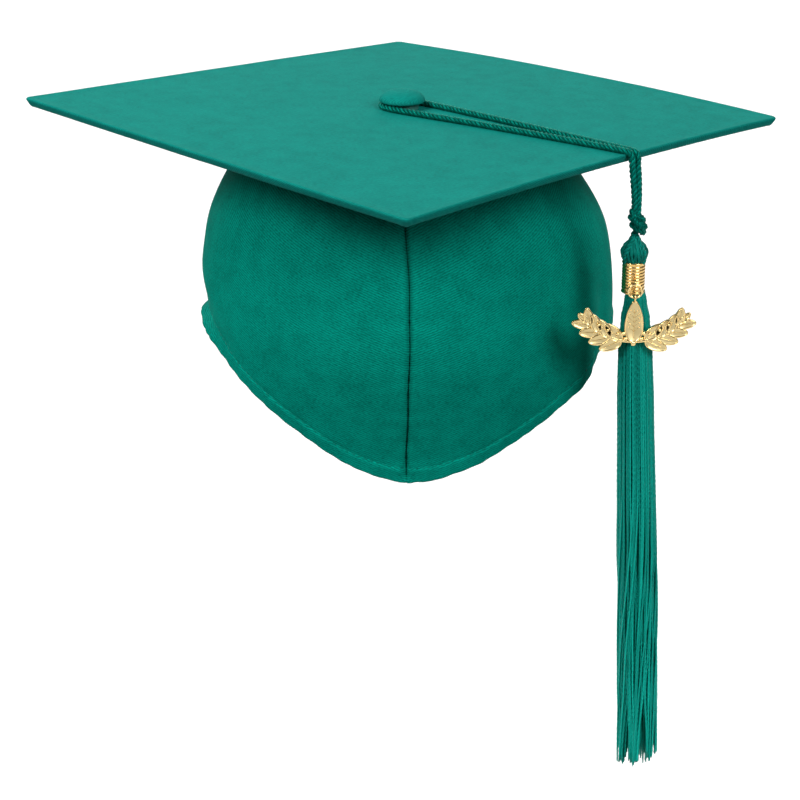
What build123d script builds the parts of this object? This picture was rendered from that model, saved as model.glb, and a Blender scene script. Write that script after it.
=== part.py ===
from build123d import *
import os
from math import asin, cos, pi, radians, sin, sqrt, tan

# Graduation cap: a square cloth-covered board on a soft skull cap, with a covered button
# and a tassel on a cord loop. Millimetres, +Z up. The origin is the middle of the board's
# underside, where the top of the wearer's head stops. The wearer faces -Y, towards one
# corner of the board, so the wearer's left is +X.

# ---- driving dimensions ------------------------------------------------------------------
BOARD_SIDE = 240.0
BOARD_THICK = 3.7
BOARD_CORNER_R = 2.5
BOARD_EDGE_R = 1.1
CLOTH = 0.8                  # cover cloth with its glue
TURN_UNDER = 10.0            # how far the top cover is folded under the board

CROWN_RADIUS = 96.5          # outside, at the widest
CROWN_WAIST_Z = -88.0        # height of the widest ring
CROWN_TOP_RADIUS = 75.0      # where the crown meets the board
CROWN_LOWER_ARC_R = 600.0    # the slight pull-in below the widest ring
CROWN_BOTTOM_Z = -150.0      # deeper than any part of the rim
INTERLINING = 1.0
FACING = 0.7                 # hem, tape and casing cloth
FRONT_TIP_Z = -138.0
BACK_RIM_Z = -93.0
HEM_DEPTH = 14.0
SIDE_SEAM = 5.0              # degrees behind the wearer's left, where the back panel starts

BUTTON_RADIUS = 10.15
BUTTON_UNDERSIDE_Z = 6.8
BUTTON_TOP_Z = 10.6
BUTTON_POST_R = 7.4
RIVET_R = 1.15

CORD_DIA = 2.75
CORD_Z = BOARD_THICK + CORD_DIA / 2 + 0.05
LEG_ANGLE = -38.3            # direction of the cord over the board, degrees from +X
DROP_RADIUS = 125.2          # from the button's axis to the hanging cord
EDGE_BEND_R = 4.2            # the cord's own bend over the board's edge
LEG_GAP = 1.45               # half the distance between the two legs side by side
SWING_Z = -1.0               # height of the fold where the hanging cord swings

KNOT_TOP_Z = -22.0
KNOT_BOTTOM_Z = -32.8
KNOT_RADIUS = 4.2
NECK_RADIUS = 2.0
NECK_Z = -35.0
HEAD_TOP_Z = -37.2
HEAD_RADIUS = 6.0
BARREL_TOP_Z = -44.0
BARREL_BOTTOM_Z = -58.0
BARREL_RADIUS = 5.0
BARREL_WALL = 0.85
BARREL_RIBS = 6
SKIRT_PIVOT_Z = -60.0
SKIRT_BOTTOM_Z = -289.0
SKIRT_RADIUS = 8.8

RING_WIRE_R = 0.5
RING_RADIUS = 2.9
RING_FORWARD = 8.8           # how far in front of the tassel's axis the ring hangs
RING_TOP_Z = -52.0
CHARM_THICK = 1.8

LEG_DIR = (cos(radians(LEG_ANGLE)), sin(radians(LEG_ANGLE)))
SIDE_DIR = (-LEG_DIR[1], LEG_DIR[0])
HANG_X = DROP_RADIUS * LEG_DIR[0]
HANG_Y = DROP_RADIUS * LEG_DIR[1]

os.makedirs("parts", exist_ok=True)


def save(builder, label):
    """Name a finished piece and write its file."""
    builder.part.label = label
    export_step(builder.part, f"parts/{label}.step")


# ---- board -------------------------------------------------------------------------------
core_side = BOARD_SIDE - 2 * CLOTH
window_side = BOARD_SIDE - 2 * TURN_UNDER

with BuildPart() as board_top_cover:
    with BuildSketch(Plane.XY):
        Rectangle(BOARD_SIDE, BOARD_SIDE, rotation=45)
    extrude(amount=BOARD_THICK)
    fillet(board_top_cover.edges().filter_by(Axis.Z), BOARD_CORNER_R)
    fillet(board_top_cover.faces().sort_by(Axis.Z)[-1].edges(), BOARD_EDGE_R)
    fillet(board_top_cover.faces().sort_by(Axis.Z)[0].edges(), BOARD_EDGE_R)
    with BuildSketch(Plane.XY.offset(CLOTH)):
        RectangleRounded(core_side, core_side, BOARD_CORNER_R - CLOTH, rotation=45)
    extrude(amount=BOARD_THICK - 2 * CLOTH, mode=Mode.SUBTRACT)
    with BuildSketch(Plane.XY):
        Rectangle(window_side, window_side, rotation=45)
    extrude(amount=CLOTH, mode=Mode.SUBTRACT)
    with BuildSketch(Plane.XY):
        Circle(RIVET_R)
    extrude(amount=BOARD_THICK, mode=Mode.SUBTRACT)
save(board_top_cover, "board_top_cover")

with BuildPart() as board_stiffener:
    with BuildSketch(Plane.XY.offset(CLOTH)):
        RectangleRounded(core_side, core_side, BOARD_CORNER_R - CLOTH, rotation=45)
        Circle(RIVET_R, mode=Mode.SUBTRACT)
    extrude(amount=BOARD_THICK - 2 * CLOTH)
save(board_stiffener, "board_stiffener")

with BuildPart() as board_bottom_cover:
    with BuildSketch(Plane.XY):
        Rectangle(window_side, window_side, rotation=45)
        Circle(RIVET_R, mode=Mode.SUBTRACT)
    extrude(amount=CLOTH)
save(board_bottom_cover, "board_bottom_cover")

# ---- button ------------------------------------------------------------------------------
BUTTON_SHELL = 0.6
RIVET_TOP_Z = 8.0
WASHER_R = 6.0
WASHER_THICK = 0.8
RIVET_HEAD_R = 2.4
RIVET_HEAD = 0.7


dome_rise = BUTTON_TOP_Z - BUTTON_UNDERSIDE_Z
DOME_R = (BUTTON_RADIUS**2 + dome_rise**2) / (2 * dome_rise)
DOME_CENTRE_Z = BUTTON_TOP_Z - DOME_R


def dome_top(inset):
    """The dome's highest point, at a depth below the outer surface."""
    return (0, BUTTON_TOP_Z - inset)


def dome_rim(inset):
    """Where the dome at that depth meets the level of the button's underside."""
    radius = sqrt((DOME_R - inset) ** 2 - (BUTTON_UNDERSIDE_Z - DOME_CENTRE_Z) ** 2)
    return (radius, BUTTON_UNDERSIDE_Z)


def dome_arc(inset):
    """Half of the dome's outline, from its top out to its rim."""
    rim = dome_rim(inset)
    half_angle = asin(rim[0] / (DOME_R - inset)) / 2
    middle_z = DOME_CENTRE_Z + (DOME_R - inset) * cos(half_angle)
    ThreePointArc(dome_top(inset), ((DOME_R - inset) * sin(half_angle), middle_z), rim)


def dome_layer(label, outer, inner):
    """A domed cap between two depths."""
    with BuildPart() as layer:
        with BuildSketch(Plane.XZ):
            with BuildLine():
                dome_arc(outer)
                Line(dome_rim(outer), dome_rim(inner))
                dome_arc(inner)
                Line(dome_top(inner), dome_top(outer))
            make_face()
        revolve(axis=Axis.Z)
    save(layer, label)


dome_layer("button_cover", 0, CLOTH)
dome_layer("button_shell", CLOTH, CLOTH + BUTTON_SHELL)

with BuildPart() as button_core:
    with BuildSketch(Plane.XZ):
        with BuildLine():
            dome_arc(CLOTH + BUTTON_SHELL)
            Polyline(
                dome_rim(CLOTH + BUTTON_SHELL),
                (BUTTON_POST_R, BUTTON_UNDERSIDE_Z),
                (BUTTON_POST_R, BOARD_THICK),
                (0, BOARD_THICK),
                dome_top(CLOTH + BUTTON_SHELL),
            )
        make_face()
    revolve(axis=Axis.Z)
    with BuildSketch(Plane.XY):
        Circle(RIVET_R)
    extrude(amount=RIVET_TOP_Z, mode=Mode.SUBTRACT)
save(button_core, "button_core")

with BuildPart() as button_washer:
    with BuildSketch(Plane.XY.offset(-WASHER_THICK)):
        Circle(WASHER_R)
        Circle(RIVET_R, mode=Mode.SUBTRACT)
    extrude(amount=WASHER_THICK)
    lower_edges = button_washer.edges().group_by(Axis.Z)[0]
    fillet(lower_edges.sort_by(SortBy.RADIUS)[-1], 0.4)
save(button_washer, "button_washer")

with BuildPart() as button_rivet:
    with BuildSketch(Plane.XY.offset(-WASHER_THICK)):
        Circle(RIVET_R)
    extrude(amount=WASHER_THICK + RIVET_TOP_Z)
    with BuildSketch(Plane.XY.offset(-WASHER_THICK - RIVET_HEAD)):
        Circle(RIVET_HEAD_R)
    extrude(amount=RIVET_HEAD)
    fillet(button_rivet.edges().group_by(Axis.Z)[0], 0.4)
save(button_rivet, "button_rivet")

# ---- crown -------------------------------------------------------------------------------
# The crown is a surface of revolution: an upper arc from the board down to the widest ring
# and a much flatter arc below it. Every layer lies at a constant depth inside that surface.
crown_inset = CROWN_RADIUS - CROWN_TOP_RADIUS
UPPER_ARC_R = (crown_inset**2 + CROWN_WAIST_Z**2) / (2 * crown_inset)
UPPER_ARC_X = CROWN_RADIUS - UPPER_ARC_R
LOWER_ARC_X = CROWN_RADIUS - CROWN_LOWER_ARC_R

# The rim seen from the side: low at the front, rising fast to the ears, level behind.
RIM_SHOULDER_Y = -72.0
RIM_SHOULDER_Z = -110.5
RIM_EAR_Y = -25.0
RIM_EAR_Z = -89.5
RIM_REACH = CROWN_RADIUS + 0.1


def upper_point(inset, z):
    """Radius of the layer surface at a height above the widest ring."""
    return UPPER_ARC_X + sqrt((UPPER_ARC_R - inset) ** 2 - (z - CROWN_WAIST_Z) ** 2)


def lower_point(inset, z):
    """Radius of the layer surface at a height below the widest ring."""
    return LOWER_ARC_X + sqrt((CROWN_LOWER_ARC_R - inset) ** 2 - (z - CROWN_WAIST_Z) ** 2)


def layer_outline(inset, top_z):
    """The two arcs of one layer surface, drawn downwards."""
    mid_upper = (top_z + CROWN_WAIST_Z) / 2
    mid_lower = (CROWN_BOTTOM_Z + CROWN_WAIST_Z) / 2
    waist = (CROWN_RADIUS - inset, CROWN_WAIST_Z)
    ThreePointArc((upper_point(inset, top_z), top_z), (upper_point(inset, mid_upper), mid_upper), waist)
    ThreePointArc(
        waist,
        (lower_point(inset, mid_lower), mid_lower),
        (lower_point(inset, CROWN_BOTTOM_Z), CROWN_BOTTOM_Z),
    )


def rim_curve(lift):
    """The rim's side view, raised by lift, from the front tip to the back."""
    front = ThreePointArc(
        (-RIM_REACH, FRONT_TIP_Z + lift),
        (RIM_SHOULDER_Y, RIM_SHOULDER_Z + lift),
        (RIM_EAR_Y, RIM_EAR_Z + lift),
    )
    TangentArc((RIM_EAR_Y, RIM_EAR_Z + lift), (RIM_REACH, BACK_RIM_Z + lift), tangent=front % 1)


def crown_layer(label, start, sweep, outer, inner, top_z=0.0, lift=0.0, height=None):
    """One sector of the crown between two depths, trimmed to the rim or to a band along it."""
    half_plane = Plane(
        origin=(0, 0, 0),
        x_dir=(cos(radians(start)), sin(radians(start)), 0),
        z_dir=(sin(radians(start)), -cos(radians(start)), 0),
    )
    with BuildPart() as layer:
        with BuildSketch(half_plane):
            with BuildLine():
                layer_outline(outer, top_z)
                Line(
                    (lower_point(outer, CROWN_BOTTOM_Z), CROWN_BOTTOM_Z),
                    (lower_point(inner, CROWN_BOTTOM_Z), CROWN_BOTTOM_Z),
                )
                layer_outline(inner, top_z)
                Line((upper_point(inner, top_z), top_z), (upper_point(outer, top_z), top_z))
            make_face()
        revolve(axis=Axis.Z, revolution_arc=sweep)
        with BuildSketch(Plane.YZ):
            with BuildLine():
                rim_curve(lift)
                if height is None:
                    Polyline(
                        (RIM_REACH, BACK_RIM_Z + lift),
                        (RIM_REACH, 1),
                        (-RIM_REACH, 1),
                        (-RIM_REACH, FRONT_TIP_Z + lift),
                    )
                else:
                    rim_curve(lift + height)
                    Line((RIM_REACH, BACK_RIM_Z + lift), (RIM_REACH, BACK_RIM_Z + lift + height))
                    Line((-RIM_REACH, FRONT_TIP_Z + lift), (-RIM_REACH, FRONT_TIP_Z + lift + height))
            make_face()
        extrude(amount=RIM_REACH, both=True, mode=Mode.INTERSECT)
    save(layer, label)
    return layer


FRONT = -90.0
side_sweep = 90.0 + SIDE_SEAM
back_sweep = 180.0 - 2 * SIDE_SEAM
buckram_inner = CLOTH + INTERLINING
facing_inner = buckram_inner + FACING
TAPE_HALF_ANGLE = 3.6
TAPE_TOP_Z = -3.0
ELASTIC_THICK = 1.0
ELASTIC_LIFT = 2.0
ELASTIC_WIDTH = 8.0
CASING_HEIGHT = 12.0

crown_layer("crown_left_panel", FRONT, side_sweep, 0, CLOTH)
crown_layer("crown_right_panel", FRONT - side_sweep, side_sweep, 0, CLOTH)
crown_layer("crown_back_panel", SIDE_SEAM, back_sweep, 0, CLOTH)
crown_layer("left_interlining", FRONT, side_sweep, CLOTH, buckram_inner)
crown_layer("right_interlining", FRONT - side_sweep, side_sweep, CLOTH, buckram_inner)
crown_layer("left_hem", FRONT, side_sweep, buckram_inner, facing_inner, height=HEM_DEPTH)
crown_layer("right_hem", FRONT - side_sweep, side_sweep, buckram_inner, facing_inner, height=HEM_DEPTH)
crown_layer(
    "front_seam_tape",
    FRONT - TAPE_HALF_ANGLE,
    2 * TAPE_HALF_ANGLE,
    buckram_inner,
    facing_inner,
    top_z=TAPE_TOP_Z,
    lift=HEM_DEPTH,
)
crown_layer(
    "back_elastic",
    SIDE_SEAM,
    back_sweep,
    CLOTH,
    CLOTH + ELASTIC_THICK,
    lift=ELASTIC_LIFT,
    height=ELASTIC_WIDTH,
)
crown_layer(
    "elastic_casing",
    SIDE_SEAM,
    back_sweep,
    CLOTH + ELASTIC_THICK,
    CLOTH + ELASTIC_THICK + FACING,
    height=CASING_HEIGHT,
)

ALLOWANCE_INNER_R = 60.0
with BuildPart() as crown_top_allowance:
    with BuildSketch(Plane.XY.offset(-CLOTH)):
        Circle(upper_point(buckram_inner, 0) - 0.1)
        Circle(ALLOWANCE_INNER_R, mode=Mode.SUBTRACT)
    extrude(amount=CLOTH)
save(crown_top_allowance, "crown_top_allowance")

# ---- tassel cord -------------------------------------------------------------------------
# One cord loops round the button's post; its two legs run side by side to the board's edge.
# Each point is along the leg direction, to its side, and in height.
LOOP_BACK = -9.1
LOOP_HALF = 9.4
STUB_Z = SWING_Z + CORD_DIA / 2 + 0.12
CORD_ROUTE = [
    (DROP_RADIUS, -LEG_GAP, STUB_Z),
    (DROP_RADIUS, -LEG_GAP, CORD_Z),
    (108.0, -2.0, CORD_Z),
    (78.0, -4.5, CORD_Z),
    (38.0, -7.3, CORD_Z),
    (LOOP_BACK, -LOOP_HALF, CORD_Z),
    (LOOP_BACK, LOOP_HALF, CORD_Z),
    (38.0, 6.7, CORD_Z),
    (78.0, 3.7, CORD_Z),
    (108.0, 1.8, CORD_Z),
    (DROP_RADIUS, LEG_GAP, CORD_Z),
    (DROP_RADIUS, LEG_GAP, STUB_Z),
]


def placed(along, side, z):
    """A point given along the leg direction and to its side, as a point in the cap's frame."""
    return Vector(
        along * LEG_DIR[0] + side * SIDE_DIR[0],
        along * LEG_DIR[1] + side * SIDE_DIR[1],
        z,
    )


def arc_radii(points, tight):
    """Radius at each corner: 0.45 of the shorter run over the tangent of half the turn,
    or the size given in tight for a corner that goes round something."""
    radii = []
    for index in range(1, len(points) - 1):
        before = points[index] - points[index - 1]
        after = points[index + 1] - points[index]
        turn = before.get_angle(after)
        widest = 0.45 * min(before.length, after.length) / tan(radians(turn / 2))
        radii.append(tight.get(index, widest))
    return radii


route = [placed(*point) for point in CORD_ROUTE]
BUTTON_BEND_R = 8.9
last = len(route) - 1
tight_bends = {1: EDGE_BEND_R, 5: BUTTON_BEND_R, 6: BUTTON_BEND_R, last - 1: EDGE_BEND_R}
cord_radii = arc_radii(route, tight_bends)
print("cord arc radii:", [round(radius, 1) for radius in cord_radii])

with BuildPart() as tassel_loop_cord:
    with BuildLine() as loop_path:
        FilletPolyline(*route, radius=cord_radii)
    with BuildSketch(Plane(origin=loop_path.line @ 0, z_dir=loop_path.line % 0)):
        Circle(CORD_DIA / 2)
    sweep()
save(tassel_loop_cord, "tassel_loop_cord")
cord_length = sum(edge.length for edge in loop_path.edges())
cord_volume = pi * (CORD_DIA / 2) ** 2 * cord_length
print("cord length:", round(cord_length, 1), "section x length:", round(cord_volume, 1))
print("cord volume:", round(tassel_loop_cord.part.volume, 1))

with BuildPart() as tassel_drop_cords:
    for side in (-LEG_GAP, LEG_GAP):
        top = placed(DROP_RADIUS, side, SWING_Z)
        with BuildSketch(Plane(origin=(top.X, top.Y, KNOT_TOP_Z), z_dir=(0, 0, 1))):
            Circle(CORD_DIA / 2)
        extrude(amount=SWING_Z - KNOT_TOP_Z)
        with Locations((top.X, top.Y, SWING_Z)):
            Sphere(CORD_DIA / 2)
save(tassel_drop_cords, "tassel_drop_cords")

# ---- tassel ------------------------------------------------------------------------------
# Everything here hangs on one vertical axis, just outside the board's edge.
hang_plane = Plane(origin=(HANG_X, HANG_Y, 0), x_dir=(1, 0, 0), z_dir=(0, -1, 0))
hang_axis = Axis(origin=(HANG_X, HANG_Y, 0), direction=(0, 0, 1))

KNOT_END_R = 3.0
with BuildPart() as tassel_knot:
    with BuildSketch(hang_plane):
        with BuildLine():
            Line((0, KNOT_TOP_Z), (KNOT_END_R, KNOT_TOP_Z))
            ThreePointArc(
                (KNOT_END_R, KNOT_TOP_Z),
                (KNOT_RADIUS, (KNOT_TOP_Z + KNOT_BOTTOM_Z) / 2),
                (KNOT_END_R, KNOT_BOTTOM_Z),
            )
            Polyline((KNOT_END_R, KNOT_BOTTOM_Z), (0, KNOT_BOTTOM_Z), (0, KNOT_TOP_Z))
        make_face()
    revolve(axis=hang_axis)
save(tassel_knot, "tassel_knot")

with BuildPart() as tassel_neck:
    with Locations((HANG_X, HANG_Y, NECK_Z)):
        Sphere(NECK_RADIUS)
save(tassel_neck, "tassel_neck")

# The head is the tassel's own threads folded over; its neck fills the barrel.
HEAD_TOP_R = 3.2
BARREL_BORE_R = BARREL_RADIUS - BARREL_WALL
HEAD_STEM_BOTTOM_Z = -55.6
HEAD_MID_Z = -40.2
with BuildPart() as tassel_head:
    with BuildSketch(hang_plane):
        with BuildLine():
            Line((0, HEAD_TOP_Z), (HEAD_TOP_R, HEAD_TOP_Z))
            ThreePointArc((HEAD_TOP_R, HEAD_TOP_Z), (HEAD_RADIUS, HEAD_MID_Z), (BARREL_RADIUS, BARREL_TOP_Z))
            Polyline(
                (BARREL_RADIUS, BARREL_TOP_Z),
                (BARREL_BORE_R, BARREL_TOP_Z),
                (BARREL_BORE_R, HEAD_STEM_BOTTOM_Z),
                (0, HEAD_STEM_BOTTOM_Z),
                (0, HEAD_TOP_Z),
            )
        make_face()
    revolve(axis=hang_axis)
save(tassel_head, "tassel_head")

# The barrel is a pressed metal sleeve with rounded ribs and an eye for the jump ring.
RIB_DEPTH = 0.22
LUG_THICK = 1.2
LUG_R = 1.8
LUG_HOLE_R = 1.0
rib_height = (BARREL_TOP_Z - BARREL_BOTTOM_Z) / BARREL_RIBS
with BuildPart() as tassel_barrel:
    with BuildSketch(hang_plane):
        with BuildLine():
            for rib in range(BARREL_RIBS):
                rib_top = BARREL_TOP_Z - rib * rib_height
                ThreePointArc(
                    (BARREL_RADIUS - RIB_DEPTH, rib_top),
                    (BARREL_RADIUS, rib_top - rib_height / 2),
                    (BARREL_RADIUS - RIB_DEPTH, rib_top - rib_height),
                )
            Polyline(
                (BARREL_RADIUS - RIB_DEPTH, BARREL_BOTTOM_Z),
                (BARREL_BORE_R, BARREL_BOTTOM_Z),
                (BARREL_BORE_R, BARREL_TOP_Z),
                (BARREL_RADIUS - RIB_DEPTH, BARREL_TOP_Z),
            )
        make_face()
    revolve(axis=hang_axis)
    with BuildSketch(Plane(origin=(HANG_X, HANG_Y, RING_TOP_Z), x_dir=(0, -1, 0), z_dir=(1, 0, 0))):
        with Locations((RING_FORWARD, 0)):
            Circle(LUG_R)
        with Locations(((RING_FORWARD + BARREL_BORE_R + 0.2) / 2, 0)):
            Rectangle(RING_FORWARD - BARREL_BORE_R - 0.2, 2 * LUG_R - 0.8)
        with Locations((RING_FORWARD, 0)):
            Circle(LUG_HOLE_R, mode=Mode.SUBTRACT)
    extrude(amount=LUG_THICK / 2, both=True)
save(tassel_barrel, "tassel_barrel")

# The skirt's threads as one body: a ball inside the barrel, then a long narrow flare.
SKIRT_BALL_R = 3.9
SKIRT_SHOULDER_R = 8.0
SKIRT_SHOULDER_Z = -96.0
SKIRT_MIDDLE_Z = -74.0
SKIRT_BULGE = 0.6
with BuildPart() as tassel_skirt:
    with BuildSketch(hang_plane):
        with BuildLine():
            ThreePointArc(
                (0, SKIRT_PIVOT_Z + SKIRT_BALL_R),
                (SKIRT_BALL_R * sin(radians(45)), SKIRT_PIVOT_Z + SKIRT_BALL_R * cos(radians(45))),
                (SKIRT_BALL_R, SKIRT_PIVOT_Z),
            )
            ThreePointArc(
                (SKIRT_BALL_R, SKIRT_PIVOT_Z),
                ((SKIRT_BALL_R + SKIRT_SHOULDER_R) / 2 + SKIRT_BULGE, SKIRT_MIDDLE_Z),
                (SKIRT_SHOULDER_R, SKIRT_SHOULDER_Z),
            )
            Line((SKIRT_SHOULDER_R, SKIRT_SHOULDER_Z), (SKIRT_RADIUS, SKIRT_BOTTOM_Z))
            Polyline((SKIRT_RADIUS, SKIRT_BOTTOM_Z), (0, SKIRT_BOTTOM_Z), (0, SKIRT_PIVOT_Z + SKIRT_BALL_R))
        make_face()
    revolve(axis=hang_axis)
save(tassel_skirt, "tassel_skirt")

# ---- jump ring and charm -----------------------------------------------------------------
ring_y = HANG_Y - RING_FORWARD
ring_bottom_z = RING_TOP_Z - 2 * RING_RADIUS

with BuildPart() as jump_ring:
    with Locations(Location((HANG_X, ring_y, RING_TOP_Z - RING_RADIUS), (90, 0, 0))):
        Torus(RING_RADIUS, RING_WIRE_R)
save(jump_ring, "jump_ring")

# The charm: two laurel sprays on one curved stem, joined by an upright leaf to the bail.
BAIL_R = 1.9
STEM_DROP = 18.6
STEM_CENTRE_Z = 9.0
STEM_R = STEM_CENTRE_Z + STEM_DROP
STEM_HALF_ANGLE = 46.0
STEM_WIDTH = 1.5
LEAF_LENGTH = 6.2
LEAF_WIDTH = 3.1
LEAF_PAIRS = 4
LEAF_STEP = 11.0
LEAF_TILT = 34.0
CHARM_TOP_Z = ring_bottom_z - 1.0

charm_plane = Plane(
    origin=(HANG_X, ring_y, CHARM_TOP_Z),
    x_dir=(1, 0, 0),
    z_dir=(0, -1, 0),
)


def leaf_places(side):
    """Centre and angle of each leaf of one spray, in pairs outside and inside the stem."""
    places = []
    for pair in range(1, LEAF_PAIRS + 1):
        polar = -90 + side * pair * LEAF_STEP
        for turn in (-1, 1):
            heading = polar + side * 90 + side * turn * LEAF_TILT
            foot_x = STEM_R * cos(radians(polar))
            foot_z = STEM_CENTRE_Z + STEM_R * sin(radians(polar))
            places.append(
                (
                    foot_x + LEAF_LENGTH / 2 * cos(radians(heading)),
                    foot_z + LEAF_LENGTH / 2 * sin(radians(heading)),
                    heading,
                )
            )
    return places


with BuildPart() as charm:
    with BuildSketch(charm_plane):
        with BuildLine():
            CenterArc((0, STEM_CENTRE_Z), STEM_R, -90 - STEM_HALF_ANGLE, 2 * STEM_HALF_ANGLE)
        trace(line_width=STEM_WIDTH)
        for side in (-1, 1):
            for leaf_x, leaf_z, heading in leaf_places(side):
                with Locations(Location((leaf_x, leaf_z, 0), (0, 0, heading))):
                    Ellipse(LEAF_LENGTH / 2, LEAF_WIDTH / 2)
        with Locations((0, -STEM_DROP / 2)):
            Ellipse(LEAF_WIDTH, STEM_DROP / 2)
    extrude(amount=CHARM_THICK / 2, both=True)
    with BuildSketch(Plane(origin=(HANG_X, ring_y, ring_bottom_z), x_dir=(0, -1, 0), z_dir=(1, 0, 0))):
        Circle(BAIL_R)
        Circle(LUG_HOLE_R, mode=Mode.SUBTRACT)
    extrude(amount=LUG_THICK / 2, both=True)
save(charm, "charm")
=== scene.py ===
import random
from math import ceil, cos, degrees, exp, pi, radians, sin, sqrt

import bmesh
import bpy
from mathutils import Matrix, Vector, noise


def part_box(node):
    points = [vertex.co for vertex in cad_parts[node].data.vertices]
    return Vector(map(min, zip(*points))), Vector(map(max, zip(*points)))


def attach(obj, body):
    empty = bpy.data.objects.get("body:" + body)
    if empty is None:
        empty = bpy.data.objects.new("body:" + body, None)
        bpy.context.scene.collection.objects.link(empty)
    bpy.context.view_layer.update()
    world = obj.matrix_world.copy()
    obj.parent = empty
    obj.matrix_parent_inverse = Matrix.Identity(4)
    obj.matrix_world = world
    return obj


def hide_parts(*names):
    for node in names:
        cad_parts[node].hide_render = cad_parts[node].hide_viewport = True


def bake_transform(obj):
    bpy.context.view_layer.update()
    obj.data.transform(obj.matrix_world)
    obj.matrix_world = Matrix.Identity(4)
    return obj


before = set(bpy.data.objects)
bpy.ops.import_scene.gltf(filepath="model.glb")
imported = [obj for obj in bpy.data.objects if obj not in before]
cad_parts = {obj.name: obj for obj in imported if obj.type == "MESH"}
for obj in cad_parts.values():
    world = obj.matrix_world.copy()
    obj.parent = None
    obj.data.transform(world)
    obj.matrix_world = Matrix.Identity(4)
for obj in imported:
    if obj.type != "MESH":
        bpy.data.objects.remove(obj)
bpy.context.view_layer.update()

MM = 0.001
dice = random.Random(7)

# ---- sizes shared with the CAD model, in metres
BOARD_HALF = 120.0 * MM
BOARD_REACH = BOARD_HALF * sqrt(2)
BOARD_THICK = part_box("board_top_cover")[1].z
CORD_DIA = 2.75 * MM
LEG_ANGLE = radians(-38.3)
LEG_DIR = Vector((cos(LEG_ANGLE), sin(LEG_ANGLE), 0))
SIDE_DIR = Vector((-LEG_DIR.y, LEG_DIR.x, 0))
DROP_RADIUS = 125.2 * MM
HANG = LEG_DIR * DROP_RADIUS

CROWN_RADIUS = 96.5 * MM
CROWN_WAIST_Z = -88.0 * MM
CROWN_TOP_RADIUS = 75.0 * MM
CROWN_LOWER_ARC_R = 600.0 * MM
SIDE_SEAM = 95.0
FRONT_TIP = Vector((-96.6, -138.0)) * MM
RIM_SHOULDER = Vector((-72.0, -110.5)) * MM
RIM_EAR = Vector((-25.0, -89.5)) * MM
RIM_BACK = Vector((96.6, -93.0)) * MM
HEM_DEPTH = 14.0 * MM
STITCH_LINE = 7.5 * MM


def linked(name, data):
    """A new object with this data, in the scene."""
    made = bpy.data.objects.new(name, data)
    bpy.context.scene.collection.objects.link(made)
    return made


def facing(at, target):
    """The turn that points a camera or a light from a place to a target."""
    return (target - at).to_track_quat("-Z", "Y").to_euler()


# ---- camera, light and floor
CAMERA_AT = Vector((-0.0117, -1.0208, 0.2456))
CAMERA_LOOKS_AT = Vector((-0.0004, 0, -0.1366))
CAMERA_ROLL = radians(0.24)
CAMERA_LENS = 104.1
FLOOR_Z = -3.0
FLOOR_HALF = 18.0
FLOOR_PAINT = (0.93, 0.93, 0.93, 1)
DOME_RADIUS = 20.0
DOME_GLOW = 0.97
WHITE = (1, 1, 1, 1)
WORLD_STRENGTH = 0.16
SOFTBOX_AT = Vector((-0.74, -0.05, 0.82))
SOFTBOX_SIDE = 0.8
SOFTBOX_WATTS = 8.6
# Each sun: degrees round from the front (+X is 90), degrees up, strength, width in degrees.
SUNS = {
    "key": (-47, 34, 2.25, 22),
    "front_fill": (37, 33, 2.5, 28),
    "under_fill": (180, -52, 3.2, 40),
    "back_fill_left": (158, 28, 1.1, 50),
    "back_fill_right": (-158, 28, 1.1, 50),
}


def make_camera():
    """The camera, level but for a slight roll, looking down at the middle of the cap."""
    data = bpy.data.cameras.new("camera")
    data.lens = CAMERA_LENS
    data.sensor_width = 36
    data.clip_start = 0.01
    data.clip_end = 100
    camera = linked("camera", data)
    camera.location = CAMERA_AT
    camera.rotation_euler = facing(CAMERA_AT, CAMERA_LOOKS_AT)
    camera.rotation_euler.rotate_axis("Z", CAMERA_ROLL)
    bpy.context.scene.camera = camera


def make_softbox():
    """A square soft light above the left of the board, aimed at its middle."""
    data = bpy.data.lights.new("softbox", "AREA")
    data.size = SOFTBOX_SIDE
    data.energy = SOFTBOX_WATTS
    light = linked("softbox", data)
    light.location = SOFTBOX_AT
    light.rotation_euler = facing(SOFTBOX_AT, Vector((0, 0, 0)))


def make_sun(name, azimuth, elevation, strength, width):
    """A wide soft light, so far round from the front and so far up."""
    data = bpy.data.lights.new(name, "SUN")
    data.energy = strength
    data.angle = radians(width)
    flat = cos(radians(elevation))
    at = Vector((sin(radians(azimuth)) * flat, -cos(radians(azimuth)) * flat, sin(radians(elevation))))
    light = linked(name, data)
    light.location = at * 2
    light.rotation_euler = facing(at, Vector((0, 0, 0)))


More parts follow.
